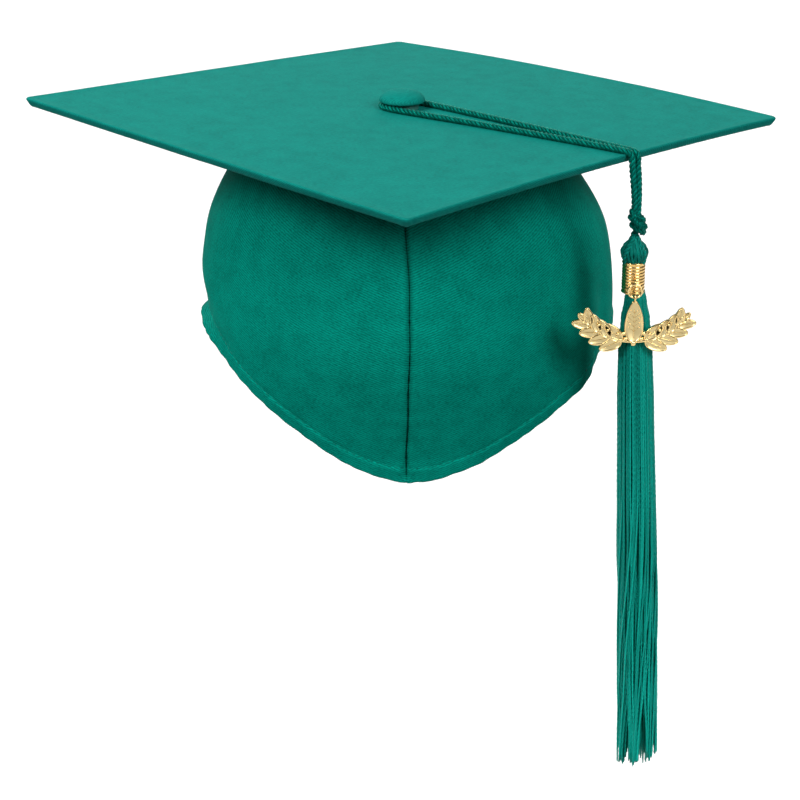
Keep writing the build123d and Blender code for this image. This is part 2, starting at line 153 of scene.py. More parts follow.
# ---- materials
class Nodes:
    """A material's node tree, with short ways to add and join nodes."""

    def __init__(self, name):
        self.material = bpy.data.materials.new(name)
        self.material.use_nodes = True
        self.tree = self.material.node_tree
        self.shader = self.tree.nodes["Principled BSDF"]

    def add(self, kind, settings=None, **inputs):
        """A node of that kind, with its settings and its input values or links."""
        node = self.tree.nodes.new(kind)
        for key, value in (settings or {}).items():
            setattr(node, key, value)
        self.fill(node, **inputs)
        return node

    def fill(self, node, **inputs):
        """Set or link inputs of a node, by their names with _ for a space."""
        for key, value in inputs.items():
            self.put(node.inputs[key.replace("_", " ")], value)

    def put(self, socket, value):
        """Set or link one input."""
        if isinstance(value, bpy.types.NodeSocket):
            self.tree.links.new(value, socket)
        else:
            socket.default_value = value

    def math(self, operation, first, second):
        """One math node."""
        node = self.add("ShaderNodeMath", {"operation": operation})
        self.put(node.inputs[0], first)
        self.put(node.inputs[1], second)
        return node.outputs[0]

    def mapped(self, vector, **turn):
        """A vector that is scaled or turned."""
        return self.add("ShaderNodeMapping", Vector=vector, **turn).outputs["Vector"]

    def cloth_place(self):
        """The place on the cloth, in millimetres."""
        uv = self.add("ShaderNodeUVMap", {"uv_map": "cloth"})
        return self.mapped(uv.outputs["UV"], Scale=(1000, 1000, 1000))

    def noise(self, vector, scale, detail):
        """Smooth noise from 0 to 1."""
        return self.add("ShaderNodeTexNoise", Vector=vector, Scale=scale, Detail=detail).outputs["Fac"]

    def waves(self, vector, direction, pitch, **inputs):
        """Stripes across a direction, so many millimetres apart."""
        settings = {"bands_direction": direction}
        node = self.add("ShaderNodeTexWave", settings, Vector=vector, Scale=WAVE_UNIT / pitch, **inputs)
        return node.outputs["Fac"]

    def ramp(self, factor, low, high, dark, light):
        """A colour that goes from dark to light while the factor goes from low to high."""
        node = self.add("ShaderNodeValToRGB", Fac=factor)
        for element, place, colour in zip(node.color_ramp.elements, (low, high), (dark, light)):
            element.position = place
            element.color = (*colour, 1)
        return node.outputs["Color"]

    def roughen(self, factor, amount, least):
        """Roughness that rises with a factor."""
        self.fill(self.shader, Roughness=self.math("ADD", self.math("MULTIPLY", factor, amount), least))

    def bump(self, height, strength, distance):
        """A bump node into the shader's normal."""
        node = self.add("ShaderNodeBump", Height=height, Strength=strength, Distance=distance)
        self.fill(self.shader, Normal=node.outputs["Normal"])


GREEN_GLOSS = (0.08, 0.9, 0.75, 1)
WAVE_UNIT = 0.314
# How far down a thread, in metres, the painted light along it leaves the colour unchanged.
PAINTED_LIGHT_MIDDLE = 0.095


def shade(colour, factor):
    """A colour made darker or lighter."""
    return tuple(channel * factor for channel in colour)


def stage_material(name, colour, glow):
    """Matt paint for the stage, glowing if it is a lit backdrop."""
    n = Nodes(name)
    n.fill(n.shader, Base_Color=(0, 0, 0, 1) if glow else colour, Roughness=0.9, Specular_IOR_Level=0.0)
    n.fill(n.shader, Emission_Color=colour, Emission_Strength=glow)
    return n.material


def make_stage():
    """Pale floor well below the cap, a pale dome round it and soft studio lights."""
    corners = [(-1, -1), (1, -1), (1, 1), (-1, 1)]
    mesh = bpy.data.meshes.new("floor")
    mesh.from_pydata([(x * FLOOR_HALF, y * FLOOR_HALF, FLOOR_Z) for x, y in corners], [], [(0, 1, 2, 3)])
    mesh.materials.append(stage_material("floor_paint", FLOOR_PAINT, 0.0))
    floor = linked("floor", mesh)
    floor.visible_diffuse = False
    floor.visible_shadow = False

    bm = bmesh.new()
    bmesh.ops.create_uvsphere(bm, u_segments=48, v_segments=24, radius=DOME_RADIUS)
    bmesh.ops.reverse_faces(bm, faces=bm.faces)
    mesh = bpy.data.meshes.new("dome")
    bm.to_mesh(mesh)
    bm.free()
    mesh.materials.append(stage_material("dome_paint", WHITE, DOME_GLOW))
    dome = linked("dome", mesh)
    dome.visible_diffuse = False
    dome.visible_glossy = False
    dome.visible_shadow = False

    world = bpy.data.worlds.new("studio")
    world.use_nodes = True
    background = world.node_tree.nodes["Background"]
    background.inputs["Color"].default_value = WHITE
    background.inputs["Strength"].default_value = WORLD_STRENGTH
    bpy.context.scene.world = world
    make_softbox()
    for name, numbers in SUNS.items():
        make_sun(name, *numbers)
    bpy.context.scene.view_settings.view_transform = "Standard"


def cloth_material(name, colour, pitch, slope, contrast=0.3, ribbing=0.5, sheen=0.0):
    """Twill: fine diagonal ribs at a pitch in millimetres, broken up by the yarns that cross them."""
    n = Nodes(name)
    place = n.cloth_place()
    turned = n.mapped(place, Rotation=(0, 0, slope))
    ribs = n.waves(turned, "Y", pitch, Distortion=2.6, Detail=4.0, Detail_Scale=2.2)
    yarn = n.noise(n.mapped(turned, Scale=(0.5, 1.3, 1)), 1.3, 4.0)
    worn = n.noise(place, 0.12, 3.0)
    patches = n.noise(place, 0.03, 3.0)
    shown = n.math("MULTIPLY", ribs, n.math("MULTIPLY", worn, ribbing))
    weave = n.math("ADD", shown, n.math("MULTIPLY", yarn, 0.7))
    tone = n.math("ADD", weave, n.math("MULTIPLY", patches, 0.18))
    colours = n.ramp(tone, 0.24, 0.79, shade(colour, 1 - contrast), shade(colour, 1 + contrast))
    n.fill(n.shader, Base_Color=colours, Specular_IOR_Level=0.03, Specular_Tint=GREEN_GLOSS)
    n.fill(n.shader, Sheen_Weight=sheen, Sheen_Roughness=0.4, Sheen_Tint=GREEN_GLOSS)
    n.roughen(yarn, 0.12, 0.79)
    n.bump(weave, 0.35, 0.12 * MM)
    return n.material


def thread_material(name, colour, roughness=0.42, spread=0.34, gloss=0.3, metallic=0.0, painted_light_slope=0.0):
    """Rayon thread, each with its own tone and fine diagonal fibres; a nonzero slope paints light along its
    length, darker near its top and lighter lower down.
    """
    n = Nodes(name)
    own = n.add("ShaderNodeNewGeometry").outputs["Random Per Island"]
    turned = n.mapped(n.cloth_place(), Rotation=(0, 0, radians(30)))
    fibres = n.noise(turned, 2.6, 3.0)
    streaks = n.waves(turned, "X", 0.3, Distortion=1.5)
    tone = n.math("ADD", n.math("MULTIPLY", own, 0.6), n.math("MULTIPLY", fibres, 0.4))
    colours = n.ramp(tone, 0.1, 0.9, shade(colour, 1 - spread), shade(colour, 1 + spread))
    # Painted light: the colour is darkened near the thread's top and lightened down its length.
    if painted_light_slope:
        uv = n.add("ShaderNodeUVMap", {"uv_map": "cloth"})
        down = n.add("ShaderNodeSeparateXYZ", Vector=uv.outputs["UV"]).outputs["Y"]
        value = n.math("ADD", n.math("MULTIPLY", down, painted_light_slope), 1 - painted_light_slope * PAINTED_LIGHT_MIDDLE)
        colours = n.add("ShaderNodeHueSaturation", Color=colours, Value=value).outputs["Color"]
    n.fill(n.shader, Base_Color=colours, Metallic=metallic)
    n.fill(n.shader, Specular_IOR_Level=gloss, Specular_Tint=GREEN_GLOSS)
    n.fill(n.shader, Sheen_Weight=0.03, Sheen_Roughness=0.3, Sheen_Tint=GREEN_GLOSS)
    n.roughen(fibres, 0.2, roughness - 0.1)
    n.bump(streaks, 0.4, 0.05 * MM)
    return n.material


def gold_material(name, colour, roughness, grain, depth):
    """Gold plate: polished when the grain is shallow, sandblasted when it is deep."""
    n = Nodes(name)
    at = n.add("ShaderNodeTexCoord").outputs["Object"]
    grit = n.noise(at, grain, 4.0)
    tarnish = n.noise(at, 160.0, 3.0)
    n.fill(n.shader, Base_Color=n.ramp(tarnish, 0.3, 0.75, shade(colour, 0.86), colour), Metallic=1.0)
    n.roughen(grit, 0.12, roughness)
    n.bump(grit, depth, 0.08 * MM)
    return n.material


def plain_material(name, colour, roughness, metallic=0.0, variation=0.15):
    """A simple inner material with fine grain."""
    n = Nodes(name)
    grit = n.noise(n.add("ShaderNodeTexCoord").outputs["Object"], 900.0, 4.0)
    colours = n.ramp(grit, 0.3, 0.7, shade(colour, 1 - variation), shade(colour, 1 + variation))
    n.fill(n.shader, Base_Color=colours, Metallic=metallic)
    n.roughen(grit, 0.2, roughness - 0.1)
    n.bump(grit, 0.2, 0.05 * MM)
    return n.material


# The board is the same cloth as the crown, given a slightly darker green as painted shade that offsets the
# softbox's stronger light on the board.
BOARD_GREEN_SHADED = (0.0030, 0.142, 0.118)
CROWN_GREEN = (0.0005, 0.155, 0.115)
CORD_GREEN = (0.0008, 0.100, 0.076)
SKIRT_GREEN = (0.0035, 0.272, 0.214)
HEAD_GREEN = (0.0015, 0.135, 0.105)

board_cloth = cloth_material("board_cloth", BOARD_GREEN_SHADED, 0.9, radians(40), contrast=0.4, sheen=0.01)
crown_cloth = cloth_material("crown_cloth", CROWN_GREEN, 1.0, radians(20), contrast=0.6, ribbing=0.55)
backing_cloth = cloth_material("backing_cloth", shade(CROWN_GREEN, 0.8), 0.7, radians(90))
stitch_thread = thread_material("stitch_thread", shade(CROWN_GREEN, 0.8), 0.6, spread=0.2, gloss=0.35)
head_thread = thread_material("head_thread", HEAD_GREEN, 0.4, spread=0.4)
cord_thread = thread_material("cord_thread", CORD_GREEN, 0.36, spread=0.35, gloss=0.05, metallic=0.5)
# The skirt's threads carry painted light: darker near the barrel, lighter towards their ends.
skirt_thread = thread_material("skirt_thread", SKIRT_GREEN, painted_light_slope=1.8)
gold_polished = gold_material("gold_polished", (0.80, 0.60, 0.27), 0.16, 900.0, 0.06)
gold_brushed = gold_material("gold_brushed", (0.76, 0.50, 0.18), 0.18, 1400.0, 0.06)
gold_sandy = gold_material("gold_sandy", (0.66, 0.53, 0.27), 0.42, 3800.0, 0.7)
elastic_white = cloth_material("elastic_white", (0.6, 0.6, 0.57), 0.9, 0.0)
chipboard = plain_material("chipboard", (0.36, 0.30, 0.22), 0.9)
pressed_metal = plain_material("pressed_metal", (0.62, 0.62, 0.6), 0.35, metallic=1.0, variation=0.05)
rivet_metal = plain_material("rivet_metal", (0.20, 0.20, 0.20), 0.62, metallic=1.0)
moulded_core = plain_material("moulded_core", (0.02, 0.12, 0.1), 0.6)


# ---- mesh tools
class Maker:
    """Collects faces with their cloth coordinates, then makes one object."""

    def __init__(self):
        self.points = []
        self.faces = []
        self.uvs = []
        self.slots = []

    def grid(self, rows, uv_rows, wrap=False, flip=False, slot=0):
        """Quads between rows of points; wrap joins each row's end to its start."""
        base = len(self.points)
        width = len(rows[0])
        for row in rows:
            self.points.extend(row)
        columns = width if wrap else width - 1
        for i in range(len(rows) - 1):
            for j in range(columns):
                right = (j + 1) % width
                corners = [(i, j, j), (i, right, j + 1), (i + 1, right, j + 1), (i + 1, j, j)]
                if flip:
                    corners.reverse()
                self.faces.append([base + a * width + b for a, b, _ in corners])
                self.uvs.append([uv_rows[a][c] for a, _, c in corners])
                self.slots.append(slot)
        return base

    def fan(self, ring_start, count, centre, uv, flip=False, slot=0):
        """Triangles from a ring of points to a centre."""
        self.points.append(centre)
        middle = len(self.points) - 1
        for j in range(count):
            corners = [ring_start + j, ring_start + (j + 1) % count, middle]
            if flip:
                corners.reverse()
            self.faces.append(corners)
            self.uvs.append([uv, uv, uv])
            self.slots.append(slot)

    def tube(self, points, radius, sides, flat=1.0, twist=0.0):
        """A closed tube along points; twist turns a flattened section, in radians per metre."""
        radii = radius if isinstance(radius, list) else [radius] * len(points)
        rings = []
        uv_rows = []
        along = 0.0
        frames = list(carried_frames(points))
        for index, (point, side, up) in enumerate(frames):
            if index:
                along += (point - frames[index - 1][0]).length
            long_axis = side * cos(twist * along) + up * sin(twist * along)
            short_axis = up * cos(twist * along) - side * sin(twist * along)
            ring = []
            for k in range(sides):
                angle = 2 * pi * k / sides
                ring.append(point + (long_axis * cos(angle) + short_axis * sin(angle) * flat) * radii[index])
            rings.append(ring)
            around = 2 * pi * radii[index]
            uv_rows.append([(around * k / sides, along) for k in range(sides + 1)])
        base = self.grid(rings, uv_rows, wrap=True)
        self.fan(base, sides, points[0], (0, 0), flip=True)
        self.fan(base + (len(rings) - 1) * sides, sides, points[-1], (0, along))

    def make(self, name, materials, body=None, slot=None):
        """The object, riding on its body; the slot is not used."""
        mesh = bpy.data.meshes.new(name)
        mesh.from_pydata([tuple(point) for point in self.points], [], self.faces)
        layer = mesh.uv_layers.new(name="cloth")
        flat = [value for face in self.uvs for uv in face for value in uv]
        layer.data.foreach_set("uv", flat)
        for material in materials:
            mesh.materials.append(material)
        mesh.polygons.foreach_set("material_index", self.slots)
        mesh.polygons.foreach_set("use_smooth", [True] * len(self.faces))
        mesh.update()
        piece = linked(name, mesh)
        if body:
            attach(piece, body)
        return piece


def carried_frames(points):
    """Each point with two directions across the line, carried along without twisting."""
    side = (points[1] - points[0]).orthogonal().normalized()
    last = len(points) - 1
    for index, point in enumerate(points):
        tangent = (points[min(index + 1, last)] - points[max(index - 1, 0)]).normalized()
        side = (side - tangent * side.dot(tangent)).normalized()
        yield point, side, tangent.cross(side)


def spline_line(control, step):
    """Evenly spaced points on the NURBS curve that has these control points."""
    curve = bpy.data.curves.new("route", "CURVE")
    curve.dimensions = "3D"
    curve.resolution_u = 24
    spline = curve.splines.new("NURBS")
    spline.points.add(len(control) - 1)
    for point, place in zip(spline.points, control):
        point.co = (*place, 1)
    spline.order_u = 3
    spline.use_endpoint_u = True
    holder = bpy.data.objects.new("route", curve)
    mesh = bpy.data.meshes.new_from_object(holder)
    line = [vertex.co.copy() for vertex in mesh.vertices]
    bpy.data.objects.remove(holder)
    bpy.data.curves.remove(curve)
    bpy.data.meshes.remove(mesh)
    return even_points(line, step)


def even_points(line, step):
    """The same line with its points a step apart."""
    total = sum((b - a).length for a, b in zip(line, line[1:]))
    count = max(2, ceil(total / step))
    wanted = [total * k / count for k in range(count + 1)]
    points = [line[0].copy()]
    walked = 0.0
    index = 1
    for a, b in zip(line, line[1:]):
        length = (b - a).length
        while index < count and wanted[index] <= walked + length:
            points.append(a.lerp(b, (wanted[index] - walked) / length))
            index += 1
        walked += length
    points.append(line[-1].copy())
    return points


PLY_OVERLAP = 1.04


def add_rope(maker, line, diameter, plies, pitch, phase=0.0):
    """A twisted rope along evenly spaced points: its plies wind round the line."""
    ply_radius = diameter / 2 / (1 + 1 / sin(pi / plies))
    offset = diameter / 2 - ply_radius
    frames = list(carried_frames(line))
    step = (line[1] - line[0]).length
    for ply in range(plies):
        strand = []
        for index, (point, side, up) in enumerate(frames):
            angle = phase + 2 * pi * (ply / plies + index * step / pitch)
            strand.append(point + (side * cos(angle) + up * sin(angle)) * offset)
        maker.tube(strand, ply_radius * PLY_OVERLAP, 7)


def thicken(piece, thickness, offset=-1):
    """A modifier that gives a sheet its thickness."""
    shell = piece.modifiers.new("thickness", "SOLIDIFY")
    shell.thickness = thickness
    shell.offset = offset


def shares(count):
    """A count of evenly spaced values from 0 to 1."""
    return [k / (count - 1) for k in range(count)]


def smooth(value, low, high):
    """0 below low, 1 above high, smooth between; low may be the larger."""
    share = min(1.0, max(0.0, (value - low) / (high - low)))
    return share * share * (3 - 2 * share)


def hill(value, centre, width):
    """A smooth hill, 1 at its centre."""
    return exp(-(((value - centre) / width) ** 2))


def ripple(x, y=0.0, z=0.0):
    """Smooth repeatable noise from -1 to 1."""
    return noise.noise(Vector((x, y, z)))


# ---- the board's slight bow
DROOP_LEFT = 4.0 * MM
DROOP_RIGHT = -4.5 * MM
DROOP_FRONT = 3.6 * MM
DROOP_BACK = 5.0 * MM


def droop(x, y):
    """How far the board hangs below flat, most at its corners; left and right are the wearer's."""
    sideways = DROOP_LEFT * max(x, 0) ** 2 + DROOP_RIGHT * min(x, 0) ** 2
    lengthways = DROOP_BACK * max(y, 0) ** 2 + DROOP_FRONT * min(y, 0) ** 2
    return (sideways + lengthways) / BOARD_REACH**2


def bowed(x, y, z):
    """A point that follows the board's bow."""
    return Vector((x, y, z - droop(x, y)))


# ---- cords
# The route of the one cord, from the knot up and over the edge, round the button and back:
# along the leg direction, to its side, and in height above the flat board, in millimetres.
CORD_ROUTE = [
    (125.1, -0.4, -27.0),
    (124.9, -0.7, -18.0),
    (124.0, -1.0, -9.0),
    (123.2, -1.3, -0.6),
    (123.2, -1.45, 5.1),
    (117.0, -1.6, 5.15),
    (108.0, -2.0, 5.1),
    (78.0, -4.5, 5.1),
    (38.0, -7.3, 5.1),
    (16.0, -9.0, 5.1),
    (0.0, -9.9, 5.1),
    (-7.0, -7.2, 5.1),
    (-10.0, 0.0, 5.1),
    (-7.0, 7.2, 5.1),
    (0.0, 9.9, 5.1),
    (16.0, 8.7, 5.1),
    (38.0, 6.7, 5.1),
    (78.0, 3.7, 5.1),
    (108.0, 1.8, 5.1),
    (117.0, 1.5, 5.15),
    (124.2, 1.45, 5.1),
    (124.3, 1.2, -0.6),
    (125.4, 0.9, -9.0),
    (125.9, 0.6, -18.0),
    (125.9, 0.4, -27.0),
]
CORD_STEP = 0.45 * MM
CORD_LAY = 6.6 * MM
CORD_TOP_MM = 4.0


def placed(along, side, z):
    """A route point, in millimetres, in the cap's frame; on the board it follows the bow."""
    at = (LEG_DIR * along + SIDE_DIR * side) * MM
    lowered = droop(at.x, at.y) * smooth(z, -8.0, CORD_TOP_MM)
    return Vector((at.x, at.y, z * MM - lowered))


def make_cord():
    """The twisted cord, one mesh, bending where it goes over the board's edge."""
    line = spline_line([placed(*point) for point in CORD_ROUTE], CORD_STEP)
    maker = Maker()
    add_rope(maker, line, CORD_DIA * 1.1, 3, CORD_LAY)
    cord = maker.make("tassel_cord", [cord_thread])
    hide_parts("tassel_loop_cord", "tassel_drop_cords")
    start = placed(121.5, 0, 3.0)
    end = placed(125.2, 0, -7.0)
    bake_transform(cord)
    return cord, line


def declare_cord(cord, line):
    """Reads the cord's first point and every fourth point of its line, and does nothing with them."""
    tuple(line[0])
    [tuple(point) for point in line[::4]]


# ---- board
HALF_SIDE_POINTS = 22
CORNER_POINTS = 8
CORNER_RADIUS = 2.5 * MM
MITRE_GROOVE = 0.35 * MM
MITRE_WIDTH = 1.6 * MM
EDGE_ROUND = 0.8 * MM


def square_ring(half):
    """Points round a square with rounded corners, in the board's own axes, starting mid-side."""
    corner = min(CORNER_RADIUS, half * 0.9)
    straight = half - corner
    quarter_ring = [(half, straight * k / HALF_SIDE_POINTS) for k in range(HALF_SIDE_POINTS)]
    for k in range(CORNER_POINTS + 1):
        angle = pi / 2 * k / CORNER_POINTS
        quarter_ring.append((straight + corner * cos(angle), straight + corner * sin(angle)))
    quarter_ring += [(straight * (1 - k / HALF_SIDE_POINTS), half) for k in range(1, HALF_SIDE_POINTS)]
    ring = []
    for quarter in range(4):
        turn = quarter * pi / 2
        for x, y in quarter_ring:
            ring.append((x * cos(turn) - y * sin(turn), x * sin(turn) + y * cos(turn)))
    return ring


def board_sheet(name, profile, material, thickness, waviness=0.0, mitre=False, face_down=False):
    """A sheet over the board from its middle out: profile is (half side, height) for each ring."""
    turn = pi / 4
    rows = []
    uv_rows = []
    reach = 0.0
    last = (0.0, profile[0][1])
    for half, z in profile:
        reach += sqrt((half - last[0]) ** 2 + (z - last[1]) ** 2)
        last = (half, z)
        stretch = reach / half
        mitred = mitre and z < 0.5 * MM and half < BOARD_HALF - 1 * MM
        row = []
        uv_row = []
        for x, y in square_ring(half):
            px = x * cos(turn) - y * sin(turn)
            py = x * sin(turn) + y * cos(turn)
            lift = waviness * ripple(px * 28, py * 28, z * 200)
            if mitred:
                lift -= MITRE_GROOVE * hill(abs(abs(x) - abs(y)), 0, MITRE_WIDTH)
            row.append(bowed(px, py, z + lift))
            uv_row.append((x * stretch, y * stretch))
        rows.append(row)
        uv_rows.append(uv_row + [uv_row[0]])
    maker = Maker()
    base = maker.grid(rows, uv_rows, wrap=True, flip=not face_down)
    maker.fan(base, len(rows[0]), bowed(0, 0, profile[0][1]), (0, 0), flip=face_down)
    piece = maker.make(name, [material], "cap", "board_cloth")
    thicken(piece, thickness)
    return piece


def make_board():
    """Top cover wrapped over the edges, bottom cover, and the stiffener between them."""
    inner = [(k * 4.2 * MM, BOARD_THICK) for k in range(1, 28)]
    edge = [(118.2 * MM, BOARD_THICK + 0.05 * MM), (118.9 * MM, BOARD_THICK + 0.22 * MM)]
    for share in shares(7):
        half = BOARD_HALF - 0.7 * MM * (1 - sin(pi / 2 * share))
        edge.append((half, BOARD_THICK + 0.25 * MM - EDGE_ROUND * (1 - cos(pi / 2 * share))))
    edge += [(119.8 * MM, 2.5 * MM), (119.5 * MM, 1.9 * MM), (119.2 * MM, 1.2 * MM), (118.8 * MM, 0.6 * MM)]
    edge += [(118.3 * MM, 0.2 * MM), (117.7 * MM, 0.0)]
    under = [(116.4 * MM - k * 1.4 * MM, 0.0) for k in range(6)]
    top = board_sheet("board_top_cloth", inner + edge + under, board_cloth, 0.5 * MM, 0.12 * MM, mitre=True)
    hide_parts("board_top_cover")

    lower = [(k * 4.0 * MM, -0.1 * MM) for k in range(1, 28)]
    lower += [(110.5 * MM, -0.35 * MM), (112.0 * MM, -0.45 * MM)]
    bottom = board_sheet("board_bottom_cloth", lower, board_cloth, 0.45 * MM, 0.1 * MM, face_down=True)
    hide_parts("board_bottom_cover")

    stiff = [(k * 4.2 * MM, 3.0 * MM) for k in range(1, 28)] + [(118.6 * MM, 3.0 * MM)]
    core = board_sheet("board_stiffener_bowed", stiff, chipboard, 2.0 * MM)
    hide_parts("board_stiffener")


# ---- button
def lathe(maker, profile, sides, at=Vector(), ruffle=None, capped=True):
    """A turned shape: (radius, height) from bottom to top; uncapped, it closes on itself."""
    if not capped:
        profile = profile + [profile[0]]
    rows = []
    uv_rows = []
    reach = 0.0
    last = profile[0]
    for radius, z in profile:
        reach += sqrt((radius - last[0]) ** 2 + (z - last[1]) ** 2)
        last = (radius, z)
        row = []
        for k in range(sides):
            angle = 2 * pi * k / sides
            here = radius + (ruffle(angle, radius, z) if ruffle else 0.0)
            row.append(at + Vector((here * cos(angle), here * sin(angle), z)))
        rows.append(row)
        around = 2 * pi * radius / sides
        uv_rows.append([(around * k, reach) for k in range(sides + 1)])
    base = maker.grid(rows, uv_rows, wrap=True)
    if capped:
        maker.fan(base, sides, at + Vector((0, 0, profile[0][1])), (0, 0), flip=True)
        last_ring = base + (len(rows) - 1) * sides
        maker.fan(last_ring, sides, at + Vector((0, 0, profile[-1][1])), (0, reach))


TUCK_DEPTH = 0.22 * MM
TUCK_COUNT = 22


def make_button():
    """The cloth over the button: a low dome, tucked in round its rim."""
    low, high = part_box("button_cover")
    rim = high.x
    top = high.z + 1.5 * MM
    under = low.z - 0.1 * MM
    shoulder = under + 0.9 * MM

    def tucks(angle, radius, z):
        """The cloth's small pleats, deepest under the button's rim."""
        near_rim = smooth(radius, 0.62 * rim, rim) * smooth(z, top, under)
        return TUCK_DEPTH * near_rim * sin(TUCK_COUNT * angle + 2.5 * ripple(cos(angle) * 2, sin(angle) * 2))

    profile = [(0.70 * rim, under + 0.35 * MM), (0.86 * rim, under - 0.05 * MM), (0.95 * rim, under)]
    profile += [(0.99 * rim, under + 0.4 * MM), (rim, shoulder)]
    for k in range(1, 12):
        angle = pi / 2 * k / 12
        profile.append((rim * cos(angle) ** 0.8, shoulder + (top - shoulder) * sin(angle) ** 1.05))
    profile.append((0.25 * MM, top))
    maker = Maker()
    lathe(maker, profile, 88, ruffle=tucks)
    button = maker.make("button_cloth", [board_cloth], "cap", "board_cloth")
    for vertex in button.data.vertices:
        vertex.co.z += 0.12 * MM * ripple(vertex.co.x * 160, vertex.co.y * 160)
    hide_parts("button_cover")


# ---- crown
crown_inset = CROWN_RADIUS - CROWN_TOP_RADIUS
UPPER_ARC_R = (crown_inset**2 + CROWN_WAIST_Z**2) / (2 * crown_inset)
LEAN_WAIST = 2.4 * MM
LEAN_TIP = 1.0 * MM
TUCK = 12.0 * MM


def circle_through(a, b, c):
    """Centre of the circle through three points of a plane."""
    d = 2 * (a.x * (b.y - c.y) + b.x * (c.y - a.y) + c.x * (a.y - b.y))
    x = (a.dot(a) * (b.y - c.y) + b.dot(b) * (c.y - a.y) + c.dot(c) * (a.y - b.y)) / d
    y = (a.dot(a) * (c.x - b.x) + b.dot(b) * (a.x - c.x) + c.dot(c) * (b.x - a.x)) / d
    return Vector((x, y))


def tangent_circle(start, centre, end):
    """Centre of the circle that leaves start along the first circle and passes through end."""
    radial = (start - centre).normalized()
    chord = end - start
    radius = chord.dot(chord) / (2 * -radial.dot(chord))
    return start - radial * radius


rim_front_centre = circle_through(FRONT_TIP, RIM_SHOULDER, RIM_EAR)
rim_back_centre = tangent_circle(RIM_EAR, rim_front_centre, RIM_BACK)


def lean(z):
    """How far the soft crown has slumped towards +X at a height."""
    return LEAN_WAIST * smooth(-z, 12 * MM, 58 * MM) - LEAN_TIP * smooth(-z, 95 * MM, 138 * MM)


def slim(z):
    """The worn crown's difference from the CAD radius: drawn in at the top, fuller lower down."""
    return -1.3 * MM - 8.9 * MM * smooth(z, -51 * MM, -2 * MM)


TIP_POINT = 1.3 * MM
RIM_DROP = [
    (-180, 0.0),
    (-138, 7.0),
    (-108, 13.2),
    (-84, 3.9),
    (-60, 3.5),
    (-34, 4.9),
    (-18, 6.4),
    (0, 6.4),
    (12, 8.6),
    (25, 11.0),
    (50, 12.2),
    (75, 9.4),
    (95, 8.5),
    (125, 3.0),
    (180, 0.0),
]


def rim_drop(phi):
    """How much lower the worn rim hangs than the CAD rim, at an angle from the front."""
    phi = (phi + 180) % 360 - 180
    point = TIP_POINT * exp(-abs(phi) / 7.0)
    for (a, low), (b, high) in zip(RIM_DROP, RIM_DROP[1:]):
        if phi <= b:
            return (low + (high - low) * smooth(phi, a, b)) * MM + point
    return point


def rim_at(phi):
    """The worn rim's height at an angle from the front."""
    radius = crown_profile(-60 * MM)[0] * 1.03
    return rim_height(-radius * cos(radians(phi))) - rim_drop(phi)


def rim_height(y):
    """The CAD rim's height at a distance behind the crown's axis."""
    centre = rim_front_centre if y < RIM_EAR.x else rim_back_centre
    radius = (RIM_EAR - centre).length
    return centre.y + sqrt(max(0.0, radius**2 - (y - centre.x) ** 2))


def crown_profile(z):
    """The crown's plain radius at a height, and its outward direction (radial, up)."""
    radius = UPPER_ARC_R if z > CROWN_WAIST_Z else CROWN_LOWER_ARC_R
    middle = CROWN_RADIUS - radius
    across = sqrt(radius**2 - (z - CROWN_WAIST_Z) ** 2)
    return middle + across, across / radius, (z - CROWN_WAIST_Z) / radius


def gather(phi):
    """How strongly the elastic gathers the cloth at an angle from the front, 0 to 1."""
    return smooth(abs(phi), 97.0, 124.0)


# The front seam's groove, the lips beside it and the puckers along it.
SEAM_GROOVE = 2.0 * MM
SEAM_HALF_WIDTH = 0.95 * MM
SEAM_LIP = 0.35 * MM
SEAM_PUCKER = 0.3 * MM
SEAM_PUCKER_PITCH = 8.3 * MM
# The hem's step, its slight waves and the sunk line of stitches.
HEM_STEP = 0.5 * MM
HEM_WAVE = 0.22 * MM
HEM_WAVE_PITCH = 9.0 * MM
STITCH_DIP = 0.36 * MM
# Worn folds low on the crown: degrees from the front, half width in degrees, height.
CROWN_FOLDS = [(57, 5.5, 1.6 * MM), (68, 5.0, -1.3 * MM), (-62, 7.0, -0.9 * MM)]
# The gathers of the back: fine and broad folds, the line of the elastic, the ruffle below it.
FINE_PITCH = 8.4 * MM
FINE_FOLD = 0.8 * MM
BROAD_PITCH = 12.8 * MM
BROAD_FOLD = 0.9 * MM
ELASTIC_DIP = 3.2 * MM
RUFFLE = (1.0 * MM, 0.4 * MM, 0.7 * MM)
# The notch above the hem at the left side seam: depth, height above the rim, half height.
NOTCH_ANGLE = -85.0
NOTCH_SPREAD = 17.0
NOTCH_DIPS = [(2.8 * MM, 12.5 * MM, 7.0 * MM), (5.6 * MM, 6.2 * MM, 3.3 * MM)]


def seam_relief(from_seam, z, above_rim):
    """The front seam: a groove between two lips, puckered by its stitches."""
    relief = -SEAM_GROOVE * exp(-((from_seam / SEAM_HALF_WIDTH) ** 1.4)) * smooth(above_rim, 1 * MM, 7 * MM)
    relief -= SEAM_LIP * hill(from_seam, 0, 0.5 * MM)
    relief += SEAM_LIP * hill(from_seam, 2.6 * MM, 1.8 * MM)
    pucker = sin(z * 2 * pi / SEAM_PUCKER_PITCH + 2 * ripple(z * 60, 1.0))
    return relief + SEAM_PUCKER * pucker * exp(-from_seam / (7 * MM))


def hem_relief(arc, phi, above_rim):
    """The turned-up hem: thicker and a little wavy below its line of stitches."""
    hem = smooth(above_rim, 8.4 * MM, 6.8 * MM)
    wave = sin(arc * 2 * pi / HEM_WAVE_PITCH + 3 * ripple(phi / 9, 5.0))
    return hem * (HEM_STEP + HEM_WAVE * wave) - STITCH_DIP * hill(above_rim, STITCH_LINE, 0.8 * MM)


